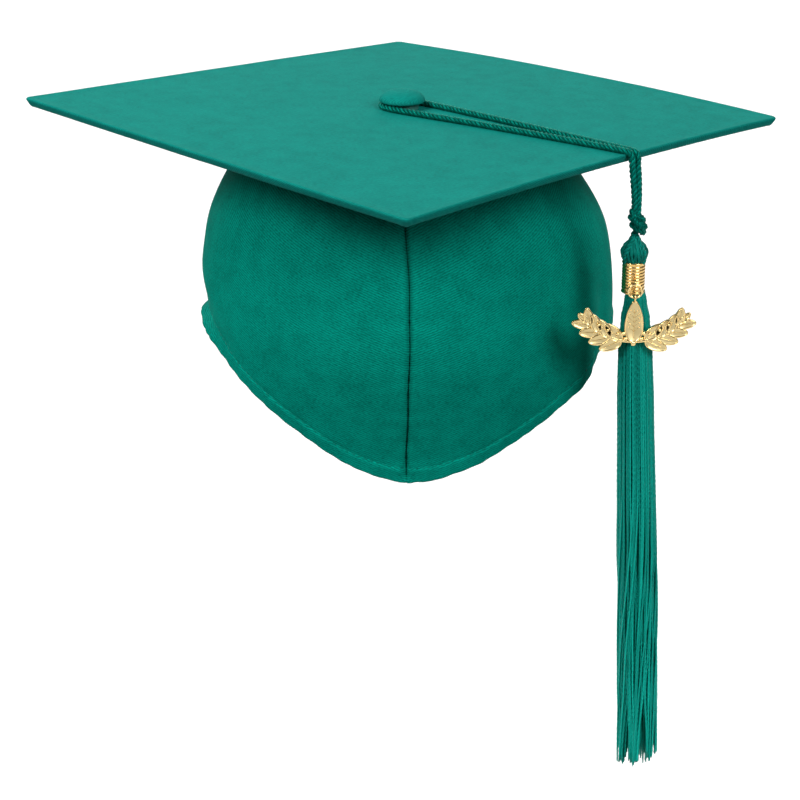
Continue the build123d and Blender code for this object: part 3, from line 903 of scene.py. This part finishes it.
def gather_relief(arc, phi, above_rim):
    """The gathered back: folds that die out upwards, drawn in at the elastic, ruffled below it."""
    fine = sin(arc * 2 * pi / FINE_PITCH + 2.2 * ripple(phi / 13, 9.0)) * (0.7 + 0.6 * ripple(phi / 11, 4.0))
    broad = sin(arc * 2 * pi / BROAD_PITCH + 2.5 * ripple(phi / 15, 2.0))
    relief = FINE_FOLD * fine * smooth(above_rim, 30 * MM, 9 * MM)
    relief += BROAD_FOLD * broad * smooth(above_rim, 46 * MM, 10 * MM)
    relief -= ELASTIC_DIP * hill(above_rim, 9.0 * MM, 4.5 * MM)
    flare, fine_part, broad_part = RUFFLE
    relief += smooth(above_rim, 8.0 * MM, 0.0) * (flare + fine_part * fine + broad_part * broad)
    return relief * gather(phi)


def crown_relief(phi, z, above_rim):
    """How far the sewn cloth stands out of the plain surface, in metres."""
    arc = CROWN_RADIUS * radians(phi)
    phi = (phi + 180) % 360 - 180
    relief = 0.9 * MM * ripple(phi / 34, z * 16, 3.0) * smooth(-z, 5 * MM, 30 * MM)
    relief += seam_relief(abs(CROWN_RADIUS * radians(phi)), z, above_rim)
    relief += hem_relief(arc, phi, above_rim)
    for angle, width, height in CROWN_FOLDS:
        relief += height * hill(phi, angle, width) * smooth(-z, 45 * MM, 80 * MM)
    relief -= TUCK * smooth(-z, 76 * MM, 147 * MM) * hill(phi, 0, 52)
    relief += gather_relief(arc, phi, above_rim)
    for depth, middle, width in NOTCH_DIPS:
        relief -= depth * hill(above_rim, middle, width) * hill(phi, NOTCH_ANGLE, NOTCH_SPREAD)
    return relief


def crown_point(phi, z, above_rim, depth):
    """A point of the crown at an angle from the front, a height and a depth inside the cloth."""
    radius, out, up = crown_profile(z)
    stand = crown_relief(phi, z, above_rim) - depth
    around = radians(phi)
    r = radius + stand * out + slim(z)
    wander = 0.5 * MM * ripple(z * 45, 7.0) * exp(-abs(CROWN_RADIUS * around) / (14 * MM))
    x = r * sin(around) + lean(z) + wander
    y = -r * cos(around)
    height = z + stand * up - droop(x, y) * smooth(-z, 30 * MM, 3 * MM)
    return Vector((x, y, height))


def spread(low, high, count, dense=()):
    """Values from low to high, with extra ones close round the dense ones."""
    values = {low + (high - low) * k / count for k in range(count + 1)}
    for centre, offsets in dense:
        values.update(centre + offset for offset in offsets if low <= centre + offset <= high)
    return sorted(values)


SEAM_OFFSETS = [0.1, 0.2, 0.3, 0.42, 0.55, 0.7, 0.9, 1.15, 1.5, 1.9, 2.4, 3.0]


def panel_angles(low, high, step):
    """Angles across a panel, close together at the front seam."""
    dense = [(0.0, SEAM_OFFSETS + [-offset for offset in SEAM_OFFSETS])]
    return spread(low, high, round((high - low) / step), dense)


def crown_strip(name, angles, rows, material, thickness, record_slot, mirror=1):
    """A sewn strip: rows holds (share of the way down, metres above the rim, depth)."""
    grid_rows = []
    uv_rows = []
    for share, lift, depth in rows:
        row = []
        uv_row = []
        for phi in angles:
            rim = rim_at(phi)
            z = rim + lift if share is None else (rim + lift) * share
            above = max(lift, 0.0) if share is None else z - rim
            row.append(crown_point(phi, z, above, depth))
            uv_row.append((CROWN_RADIUS * radians(phi) * mirror, z))
        grid_rows.append(row)
        uv_rows.append(uv_row)
    maker = Maker()
    maker.grid(grid_rows, uv_rows, flip=True)
    piece = maker.make(name, [material], "cap", record_slot)
    thicken(piece, thickness)
    return piece


HEM_ROLL = 0.9 * MM
HEM_ROWS_MM = (11, 10, 9.2, 8.6, 8.1, 7.7, 7.4, 7.0, 6.5, 5.8, 4.8, 3.6, 2.4, 1.5)
CLOTH = 0.42 * MM
FACING = 0.45 * MM
FACING_DEPTH = 1.85 * MM


def panel_rows():
    """Rows of a panel from the board to the rim, then round the hem's fold and a little way up."""
    rows = [(share, 12 * MM, 0.0) for share in shares(53)]
    rows += [(None, lift * MM, 0.0) for lift in HEM_ROWS_MM]
    for share in shares(6):
        rows.append((None, HEM_ROLL * (1 - sin(pi * share)), HEM_ROLL * (1 - cos(pi * share))))
    rows += [(None, 2.0 * MM, 2 * HEM_ROLL), (None, 3.5 * MM, 2 * HEM_ROLL)]
    return rows


def strip_rows(low, high, count, depth):
    """Rows of a band along the rim."""
    return [(None, high + (low - high) * share, depth) for share in shares(count + 1)]


def make_front(side, angles, mirror):
    """One front panel with the interlining behind it and its turned-up hem."""
    rows = panel_rows()
    cloth = crown_strip(f"crown_{side}_cloth", angles, rows, crown_cloth, CLOTH, "crown_cloth", mirror)
    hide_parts(f"crown_{side}_panel")
    rows = [(share, 2.2 * MM, 0.55 * MM) for share in shares(41)]
    backing = crown_strip(f"{side}_backing", angles, rows, backing_cloth, 0.75 * MM, "interlining")
    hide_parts(f"{side}_interlining")
    rows = strip_rows(1.2 * MM, HEM_DEPTH, 16, FACING_DEPTH)
    facing = crown_strip(f"{side}_hem_facing", angles, rows, crown_cloth, FACING, "crown_cloth")
    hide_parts(f"{side}_hem")


def make_back():
    """The gathered back panel with its elastic and the casing that holds it."""
    angles = spread(SIDE_SEAM, 360 - SIDE_SEAM, 300)
    cloth = crown_strip("crown_back_cloth", angles, panel_rows(), crown_cloth, CLOTH, "crown_cloth")
    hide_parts("crown_back_panel")
    rows = strip_rows(2.2 * MM, 9.6 * MM, 8, 0.6 * MM)
    elastic = crown_strip("back_elastic_band", angles, rows, elastic_white, 0.7 * MM, "elastic")
    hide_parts("back_elastic")
    rows = strip_rows(1.2 * MM, 12 * MM, 14, FACING_DEPTH)
    casing = crown_strip("back_casing", angles, rows, crown_cloth, FACING, "crown_cloth")
    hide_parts("elastic_casing")


def make_crown():
    """The crown's panels and linings, the tape inside its front seam, its top edge and stitches."""
    make_front("left", panel_angles(0.0, SIDE_SEAM, 1.25), -1)
    make_front("right", panel_angles(-SIDE_SEAM, 0.0, 1.25), 1)
    rows = [(0.02 + 0.98 * share, HEM_DEPTH - 1 * MM, 1.35 * MM) for share in shares(61)]
    tape = crown_strip("front_tape", spread(-3.6, 3.6, 24), rows, backing_cloth, 0.4 * MM, "interlining")
    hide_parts("front_seam_tape")
    make_back()
    make_top_allowance()
    make_hem_stitches()


def make_top_allowance():
    """The crown's gathered top edge, turned in and glued under the board."""
    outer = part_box("crown_top_allowance")[1].x
    sides = 240
    rows = []
    uv_rows = []
    for k in range(9):
        radius = outer + 0.8 * MM - 13.0 * MM * k / 8
        row = []
        for j in range(sides):
            angle = 2 * pi * j / sides
            wave = 46 * angle + 3 * ripple(cos(angle) * 3, sin(angle) * 3)
            wrinkle = 0.28 * MM * sin(wave) * smooth(k, 8, 2)
            ragged = 0.5 * MM * ripple(cos(angle) * 6, sin(angle) * 6, 2.0) if k == 8 else 0.0
            r = radius + ragged
            row.append(bowed(r * cos(angle), r * sin(angle), -0.75 * MM + wrinkle))
        rows.append(row)
        uv_rows.append([(outer * 2 * pi * j / sides, radius) for j in range(sides + 1)])
    maker = Maker()
    maker.grid(rows, uv_rows, wrap=True)
    ring = maker.make("crown_top_turnin", [crown_cloth], "cap", "crown_cloth")
    thicken(ring, 0.4 * MM, offset=1)
    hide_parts("crown_top_allowance")


STITCH_LENGTH = 2.3 * MM
STITCH_PITCH = 3.1 * MM


def make_hem_stitches():
    """Machine stitches along the hem's top line, all the way round."""
    maker = Maker()
    phi = 0.9
    while phi < 359.2:
        stitch = []
        for share in shares(5):
            angle = phi + degrees(STITCH_LENGTH / CROWN_RADIUS) * share
            signed = angle if angle <= 180 else angle - 360
            sink = 0.22 * MM * (2 * share - 1) ** 2 - 0.05 * MM
            stitch.append(crown_point(signed, rim_at(angle) + STITCH_LINE, STITCH_LINE, sink))
        maker.tube(stitch, [0.12 * MM, 0.2 * MM, 0.22 * MM, 0.2 * MM, 0.12 * MM], 6)
        phi += degrees(STITCH_PITCH / CROWN_RADIUS)
    maker.make("hem_stitches", [stitch_thread], "cap", "crown_cloth")


# ---- tassel
# The knot's turns: first angle and number of turns, tilt, middle height and radius in mm.
KNOT_TURNS = [(-200, 1.15, 1.7, -24.3, 2.5), (-120, 1.25, 1.9, -26.9, 3.1), (-40, 1.1, 1.4, -29.7, 2.6)]
KNOT_STEP = 0.35 * MM
KNOT_LAY = 4.8 * MM


def around_axis(radius, angle, z):
    """A point round the tassel's hanging axis; angle 0 faces +X, and -90 degrees the front."""
    return Vector((HANG.x + radius * cos(angle), HANG.y + radius * sin(angle), z))


def profile_at(keys, z):
    """Radius at a height, smoothly through (height, radius) keys in millimetres that run downwards."""
    for (z0, r0), (z1, r1) in zip(keys, keys[1:]):
        if z >= z1 * MM:
            return (r0 + (r1 - r0) * smooth(z, z0 * MM, z1 * MM)) * MM
    return keys[-1][1] * MM


def make_knot():
    """The overhand knot: the doubled cord wound round itself, pulled tight and lying askew."""
    maker = Maker()
    heart = []
    for k in range(1, 12):
        angle = pi * k / 12
        heart.append((2.3 * MM * sin(angle), -27.2 * MM - 5.2 * MM * cos(angle)))
    lathe(maker, heart, 14, at=HANG + Vector((0.7 * MM, 0, 0)))
    for start, turns, tilt, middle, radius in KNOT_TURNS:
        askew = Vector((0.7 + 0.1 * (-25 - middle), 0, 0)) * MM
        loop = []
        for share in shares(49):
            angle = radians(start) + 2 * pi * turns * share
            z = middle + 0.9 * (share - 0.5) - tilt * cos(angle)
            width = radius * (1 - 0.25 * (2 * share - 1) ** 4)
            loop.append(around_axis(width * MM, angle, z * MM) + askew)
        add_rope(maker, even_points(loop, KNOT_STEP), 2.7 * MM, 3, KNOT_LAY)
    across = []
    for share in shares(31):
        angle = radians(-150) + radians(120) * share
        radius = (1.6 + 2.6 * sin(pi * share)) * MM
        across.append(around_axis(radius, angle, (-22.4 - 8.9 * share) * MM) + Vector((0.8 * MM, 0, 0)))
    add_rope(maker, even_points(across, KNOT_STEP), 2.5 * MM, 3, KNOT_LAY, phase=1.0)
    knot = maker.make("tassel_knot_wraps", [cord_thread], "cord_drop", "cord_thread")
    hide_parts("tassel_knot")


# The head's outline: heights and radii in millimetres.
HEAD_KEYS = [(-33.2, 1.7), (-35.0, 2.5), (-37.2, 4.5), (-39.8, 5.65), (-42.0, 5.25), (-44.2, 4.35)]
HEAD_KEYS.append((-46.5, 4.0))
HEAD_CORE_MM = (-46.4, -44, -42, -40, -38.4, -36.8, -35.4)


def make_neck():
    """The short throat of threads between the knot and the head."""
    maker = Maker()
    coil = [around_axis(1.15 * MM, radians(75 * k), -31.6 * MM - 0.3 * MM * k) for k in range(18)]
    add_rope(maker, even_points(coil, 0.4 * MM), 2.1 * MM, 2, 4.5 * MM)
    neck = maker.make("tassel_throat", [cord_thread], "neck", "cord_thread")
    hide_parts("tassel_neck")


def make_head():
    """The head: threads that flare from the knot and gather again into the barrel."""
    maker = Maker()
    core = [(profile_at(HEAD_KEYS, z * MM) - 0.9 * MM, z * MM) for z in HEAD_CORE_MM]
    lathe(maker, core, 20, at=HANG)
    for count, inset, lean_way in ((62, 0.0, 1), (44, 0.32 * MM, -1)):
        for k in range(count):
            start = 2 * pi * (k + dice.uniform(-0.3, 0.3)) / count
            twist = radians(dice.uniform(14, 34) * lean_way)
            thick = dice.uniform(0.26, 0.36) * MM
            proud = dice.uniform(-0.12, 0.16) * MM
            line = []
            for share in shares(15):
                z = (-33.4 - 12.8 * share) * MM
                radius = profile_at(HEAD_KEYS, z) - inset + proud * sin(pi * share)
                line.append(around_axis(radius, start + twist * share, z))
            maker.tube(line, thick, 6)
    for start, end in ((-118, -150), (-62, -38), (75, 110)):
        line = []
        for share in shares(25):
            z = (-32.9 - 12.1 * share) * MM
            angle = radians(start + (end - start) * share)
            line.append(around_axis(profile_at(HEAD_KEYS, z) + 0.35 * MM, angle, z))
        add_rope(maker, even_points(line, KNOT_STEP), 1.9 * MM, 2, 4.4 * MM)
    head = maker.make("tassel_head_threads", [head_thread], "tassel", "skirt_thread")
    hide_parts("tassel_head")


# The skirt's outline: heights and radii in millimetres.
SKIRT_KEYS = [(-57.2, 3.7), (-62.0, 4.6), (-70.0, 6.0), (-82.0, 7.2), (-110.0, 7.9), (-160.0, 8.5)]
SKIRT_KEYS.append((-289.0, 8.8))
SKIRT_DRIFT = 11.0 * MM
SKIRT_END = -286.5 * MM
SKIRT_PITCH = 5.2 * MM
SKIRT_LAYERS = [(0.95, 68), (0.80, 46)]
SKIRT_INNER_THREADS = 110
SKIRT_STRAYS = 13
STRAY_TURN = radians(48)
SKIRT_RINGS = 220
CLUMPS = 7
GOLDEN_ANGLE = pi * (3 - sqrt(5))
YARN_TIP = 0.2 * MM


def skirt_line(start, place, rings, drop, seed, clump, cross=0.0):
    """One thread's path: down from the barrel, leaning and gathering into a clump at its end."""
    top = SKIRT_KEYS[0][0] * MM
    stray = 0.14 if abs(cross) > STRAY_TURN else 0.0
    wander = radians(dice.uniform(-7, 7))
    line = []
    for share in shares(rings):
        z = top + (SKIRT_END + drop - top) * share
        low = smooth(share, 0.3, 1.0)
        angle = start + wander * share + cross * smooth(share, 0.35, 1.0)
        angle += 0.13 * ripple(seed, share * 5) * low
        angle += (clump - angle) * 0.55 * smooth(share, 0.82, 1.0)
        lift = place + stray * smooth(share, 0.25, 0.6)
        radius = profile_at(SKIRT_KEYS, z) * lift * (1 + 0.05 * ripple(seed, share * 6, 3.0) * low)
        drift = SKIRT_DRIFT * smooth(share, -0.3, 1.2)
        line.append(around_axis(radius, angle, z) + Vector((drift, 0, 0)))
    return line


def skirt_clump(clumps, angle):
    """The clump a thread ends in: its direction, turned to lie near the thread, and its shortness."""
    heading, short = clumps[round(angle / (2 * pi) * CLUMPS) % CLUMPS]
    return heading + 2 * pi * round((angle - heading) / (2 * pi)), short


def make_skirt():
    """The skirt: two layers of flat twisted yarn and some strays over plain inner threads."""
    outer, second, inner = Maker(), Maker(), Maker()
    clumps = []
    for k in range(CLUMPS):
        clumps.append((2 * pi * k / CLUMPS + dice.uniform(-0.15, 0.15), dice.uniform(0.0, 8.0) * MM))
    for maker, (place, count) in zip((outer, second), SKIRT_LAYERS):
        for k in range(count):
            start = 2 * pi * (k + dice.uniform(-0.25, 0.25)) / count
            cross = radians(dice.uniform(-46, 8))
            clump, short = skirt_clump(clumps, start + cross)
            drop = short + dice.uniform(0, 2.5) * MM + 2.6 * MM * abs(start + cross - clump) / (pi / CLUMPS)
            near = place + dice.uniform(-0.03, 0.03)
            line = skirt_line(start, near, SKIRT_RINGS, drop, dice.uniform(0, 50), clump, cross)
            radii = [dice.uniform(0.50, 0.62) * MM] * (SKIRT_RINGS - 1) + [YARN_TIP]
            maker.tube(line, radii, 6, flat=0.68, twist=2 * pi / (SKIRT_PITCH * dice.uniform(0.85, 1.15)))
    for k in range(SKIRT_STRAYS):
        start = 2 * pi * (k + dice.uniform(-0.3, 0.3)) / SKIRT_STRAYS
        cross = radians(dice.uniform(-90, -50))
        clump, short = skirt_clump(clumps, start + cross)
        drop = short + dice.uniform(0, 5) * MM
        line = skirt_line(start, 0.9, SKIRT_RINGS, drop, dice.uniform(0, 50), clump, cross)
        radii = [dice.uniform(0.46, 0.56) * MM] * (SKIRT_RINGS - 1) + [YARN_TIP]
        second.tube(line, radii, 6, flat=0.8, twist=2 * pi / SKIRT_PITCH)
    for k in range(SKIRT_INNER_THREADS):
        place = 0.68 * sqrt((k + 0.5) / SKIRT_INNER_THREADS)
        start = k * GOLDEN_ANGLE
        line = skirt_line(start, place, 24, dice.uniform(1, 10) * MM, dice.uniform(0, 50), start)
        inner.tube(line, [0.5 * MM] * 23 + [0.3 * MM], 5)
    skirt = outer.make("tassel_skirt_outer", [skirt_thread], "skirt", "skirt_thread")
    second.make("tassel_skirt_second", [skirt_thread], "skirt", "skirt_thread")
    inner.make("tassel_skirt_inner", [skirt_thread], "skirt", "skirt_thread")
    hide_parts("tassel_skirt")


# ---- jump ring and charm
RING_RADIUS = 2.9 * MM
RING_Y = HANG.y - 8.8 * MM
RING_BOTTOM_Z = -57.8 * MM
CHARM_TOP_Z = RING_BOTTOM_Z - 1.0 * MM
BAIL_RADIUS = 1.45 * MM
LEAF_THICK = 1.53 * MM
PLATE_BEVEL = 0.16 * MM
PLATE_RIM = 0.45 * MM
PLATE_DIP = 0.22 * MM
STEM_CENTRE_Z = 9.0 * MM
STEM_R = 27.6 * MM
STEM_HALF_ANGLE = 46.0
LEAF_LENGTH = 10.2 * MM
LEAF_WIDTH = 6.0 * MM
LEAF_PAIRS = 4
LEAF_STEP = 10.6
LEAF_TILT = 34.0


def charm_point(x, z, forward):
    """A point of the charm: x and z in its face, forward towards the viewer."""
    return Vector((HANG.x + x, RING_Y - forward, CHARM_TOP_Z + z))


def leaf_outline(length, width, count=28):
    """A pointed leaf along +x from the origin."""
    loop = []
    for k in range(count):
        angle = 2 * pi * k / count
        x = length / 2 * (1 - cos(angle))
        bulge = sin(angle) * (0.92 + 0.2 * cos(angle))
        loop.append((x, width / 2 * bulge))
    return loop


def add_plate(maker, loop, forward):
    """A small plate with a polished raised rim round a sunk sandy face."""
    centre_x = sum(x for x, _ in loop) / len(loop)
    centre_z = sum(z for _, z in loop) / len(loop)
    reach = max(sqrt((x - centre_x) ** 2 + (z - centre_z) ** 2) for x, z in loop)

    def ring(inset, out):
        """The plate's outline, drawn in towards its middle."""
        points = []
        for x, z in loop:
            dx, dz = x - centre_x, z - centre_z
            length = sqrt(dx * dx + dz * dz)
            keep = max(0.05, (length - inset * (0.55 + 0.45 * reach / max(length, 1e-6))) / length)
            points.append(charm_point(centre_x + dx * keep, centre_z + dz * keep, out))
        return points

    back = forward - LEAF_THICK / 2
    front = forward + LEAF_THICK / 2
    rims = [ring(PLATE_BEVEL, back), ring(0, back + PLATE_BEVEL), ring(0, front - PLATE_BEVEL)]
    rims += [ring(PLATE_BEVEL, front), ring(PLATE_RIM, front)]
    floor = [ring(PLATE_RIM, front), ring(PLATE_RIM + PLATE_DIP, front - PLATE_DIP)]
    uv = [[(0.0, 0.0)] * (len(loop) + 1)] * len(rims)
    base = maker.grid(rims, uv, wrap=True, flip=True)
    maker.fan(base, len(loop), charm_point(centre_x, centre_z, back), (0, 0))
    lower = maker.grid(floor, uv, wrap=True, flip=True)
    sunk = charm_point(centre_x, centre_z, front - PLATE_DIP)
    maker.fan(lower + len(loop), len(loop), sunk, (0, 0), flip=True, slot=1)


def add_leaf(maker, length, width, at, heading, forward, count=28):
    """A leaf plate with a raised vein down its sandy face, and side veins if it is a long one."""
    add_plate(maker, turned_loop(leaf_outline(length, width, count), at, heading), forward)
    face = forward + LEAF_THICK / 2 - PLATE_BEVEL
    vein = turned_loop([(length * (0.12 + 0.68 * share), 0.0) for share in shares(9)], at, heading)
    line = [charm_point(x, z, face) for x, z in vein]
    maker.tube(line, [0.22 * MM * (1 - 0.6 * share) for share in shares(9)], 8)
    if length < LEAF_LENGTH * 1.2:
        return
    for step in range(1, 6):
        root = length * (0.16 + 0.11 * step)
        reach = width * 0.34 * sin(pi * min(1.0, root / length + 0.1))
        for turn in (-1, 1):
            barb = turned_loop([(root, 0.0), (root + reach * 0.9, turn * reach)], at, heading)
            maker.tube([charm_point(x, z, face) for x, z in barb], [0.16 * MM, 0.09 * MM], 6)


def turned_loop(loop, at, heading):
    """A loop moved to a place and turned to a heading in degrees."""
    c, s = cos(radians(heading)), sin(radians(heading))
    return [(at[0] + x * c - z * s, at[1] + x * s + z * c) for x, z in loop]


def on_stem(polar, inside=0.0):
    """The x and z of a point on the stem's arc, or inside it, at an angle in degrees."""
    radius = STEM_R - inside
    return radius * cos(radians(polar)), STEM_CENTRE_Z + radius * sin(radians(polar))


def make_charm():
    """Two laurel sprays on a curved stem, joined by an upright leaf, hung from a bail."""
    maker = Maker()
    polars = [-90 + STEM_HALF_ANGLE * (2 * share - 1) for share in shares(49)]
    stem = [charm_point(*on_stem(polar), 0.1 * MM) for polar in polars]
    maker.tube(stem, [0.8 * MM * (0.45 + 0.55 * sin(pi * share)) for share in shares(49)], 10)
    for side in (-1, 1):
        for pair in range(1, LEAF_PAIRS + 1):
            polar = -90 + side * pair * LEAF_STEP
            size = 1.08 - 0.07 * pair
            for turn in (-1, 1):
                heading = polar + side * 90 + side * turn * LEAF_TILT
                out = 0.15 * MM * turn
                add_leaf(maker, LEAF_LENGTH * size, LEAF_WIDTH * size, on_stem(polar), heading, out)
        tip = -90 + side * STEM_HALF_ANGLE
        add_leaf(maker, 6.0 * MM, 3.4 * MM, on_stem(tip), tip + side * 90, 0.0)
        for pair in range(1, LEAF_PAIRS):
            berry = on_stem(-90 + side * (pair + 0.5) * LEAF_STEP, inside=2.6 * MM)
            add_ball(maker, charm_point(*berry, 0.5 * MM), 0.85 * MM)
    add_leaf(maker, 18.6 * MM, 8.6 * MM, (0.0, -18.9 * MM), 90, 0.35 * MM, 44)
    for side in (-1, 1):
        for out, lift in ((3.4, -17.4), (4.3, -15.0), (5.8, -17.9)):
            add_ball(maker, charm_point(side * out * MM, lift * MM, 0.1 * MM), 1.05 * MM)
    add_ball(maker, charm_point(0, -19.4 * MM, 0.2 * MM), 1.25 * MM)
    bail = []
    for share in shares(25):
        out, up = BAIL_RADIUS * sin(2 * pi * share), BAIL_RADIUS * cos(2 * pi * share)
        bail.append(Vector((HANG.x, RING_Y - out, RING_BOTTOM_Z + up)))
    maker.tube(bail, 0.42 * MM, 10)
    charm = maker.make("laurel_charm", [gold_polished, gold_sandy], "charm", "gold")
    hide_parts("charm")


# The barrel's rolled ends: millimetres out from its outside and up from its low or high end.
BARREL_LOW_END = [(-0.5, 0.3), (-0.4, 0.05), (-0.2, 0.0), (0.1, 0.25), (0.12, 0.6), (-0.1, 1.0)]
BARREL_HIGH_END = [(-0.1, -1.0), (0.12, -0.6), (0.1, -0.25), (-0.2, 0.0), (-0.5, -0.3)]
BARREL_LOW_Z = -58.0 * MM
BARREL_RIBS = 8
RIB_DEPTH = 0.3 * MM
LUG_AT = HANG + Vector((0, -7.05, -52.0)) * MM


def make_barrel():
    """The barrel: a thin gold tube with fine ribs, rolled ends and a lug for the jump ring."""
    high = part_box("tassel_barrel")[1]
    outer = high.x - HANG.x
    profile = [(outer + out * MM, BARREL_LOW_Z + up * MM) for out, up in BARREL_LOW_END]
    first, last = BARREL_LOW_Z + 1.6 * MM, high.z - 1.6 * MM
    for share in shares(BARREL_RIBS * 8 + 1):
        rib = RIB_DEPTH * abs(sin(pi * BARREL_RIBS * share)) ** 0.6
        profile.append((outer - RIB_DEPTH + rib, first + (last - first) * share))
    profile += [(outer + out * MM, high.z + up * MM) for out, up in BARREL_HIGH_END]
    maker = Maker()
    lathe(maker, profile, 64, at=HANG, capped=False)
    turns = [2 * pi * share for share in shares(29)]
    lug = [LUG_AT + Vector((0, -1.35 * cos(angle), 1.45 * sin(angle))) * MM for angle in turns]
    maker.tube(lug, 0.5 * MM, 10)
    barrel = maker.make("ribbed_barrel", [gold_brushed], "tassel", "gold")
    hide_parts("tassel_barrel")


def add_ball(maker, centre, radius):
    """A small polished ball."""
    profile = []
    for k in range(1, 10):
        angle = pi * k / 10
        profile.append((radius * sin(angle), -radius * cos(angle)))
    lathe(maker, profile, 14, at=centre)


def make_ring():
    """The jump ring: round wire with a fine split."""
    maker = Maker()
    line = []
    for share in shares(61):
        angle = radians(38) + radians(356) * share
        up = RING_RADIUS + RING_RADIUS * sin(angle)
        line.append(Vector((HANG.x + RING_RADIUS * cos(angle), RING_Y, RING_BOTTOM_Z + up)))
    maker.tube(line, 0.5 * MM, 12)
    ring = maker.make("split_ring", [gold_polished], "ring", "gold")
    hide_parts("jump_ring")


def finish_frame_nodes():
    """Materials of the CAD nodes that stay."""
    looks = {
        "button_shell": pressed_metal,
        "button_core": moulded_core,
        "button_rivet": rivet_metal,
        "button_washer": rivet_metal,
    }
    for node, material in looks.items():
        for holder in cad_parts[node].material_slots:
            holder.material = material


make_camera()
tassel_cord, cord_line = make_cord()
make_stage()
make_board()
make_button()
make_crown()
make_knot()
make_neck()
make_head()
make_skirt()
make_barrel()
make_ring()
make_charm()
declare_cord(tassel_cord, cord_line)
finish_frame_nodes()
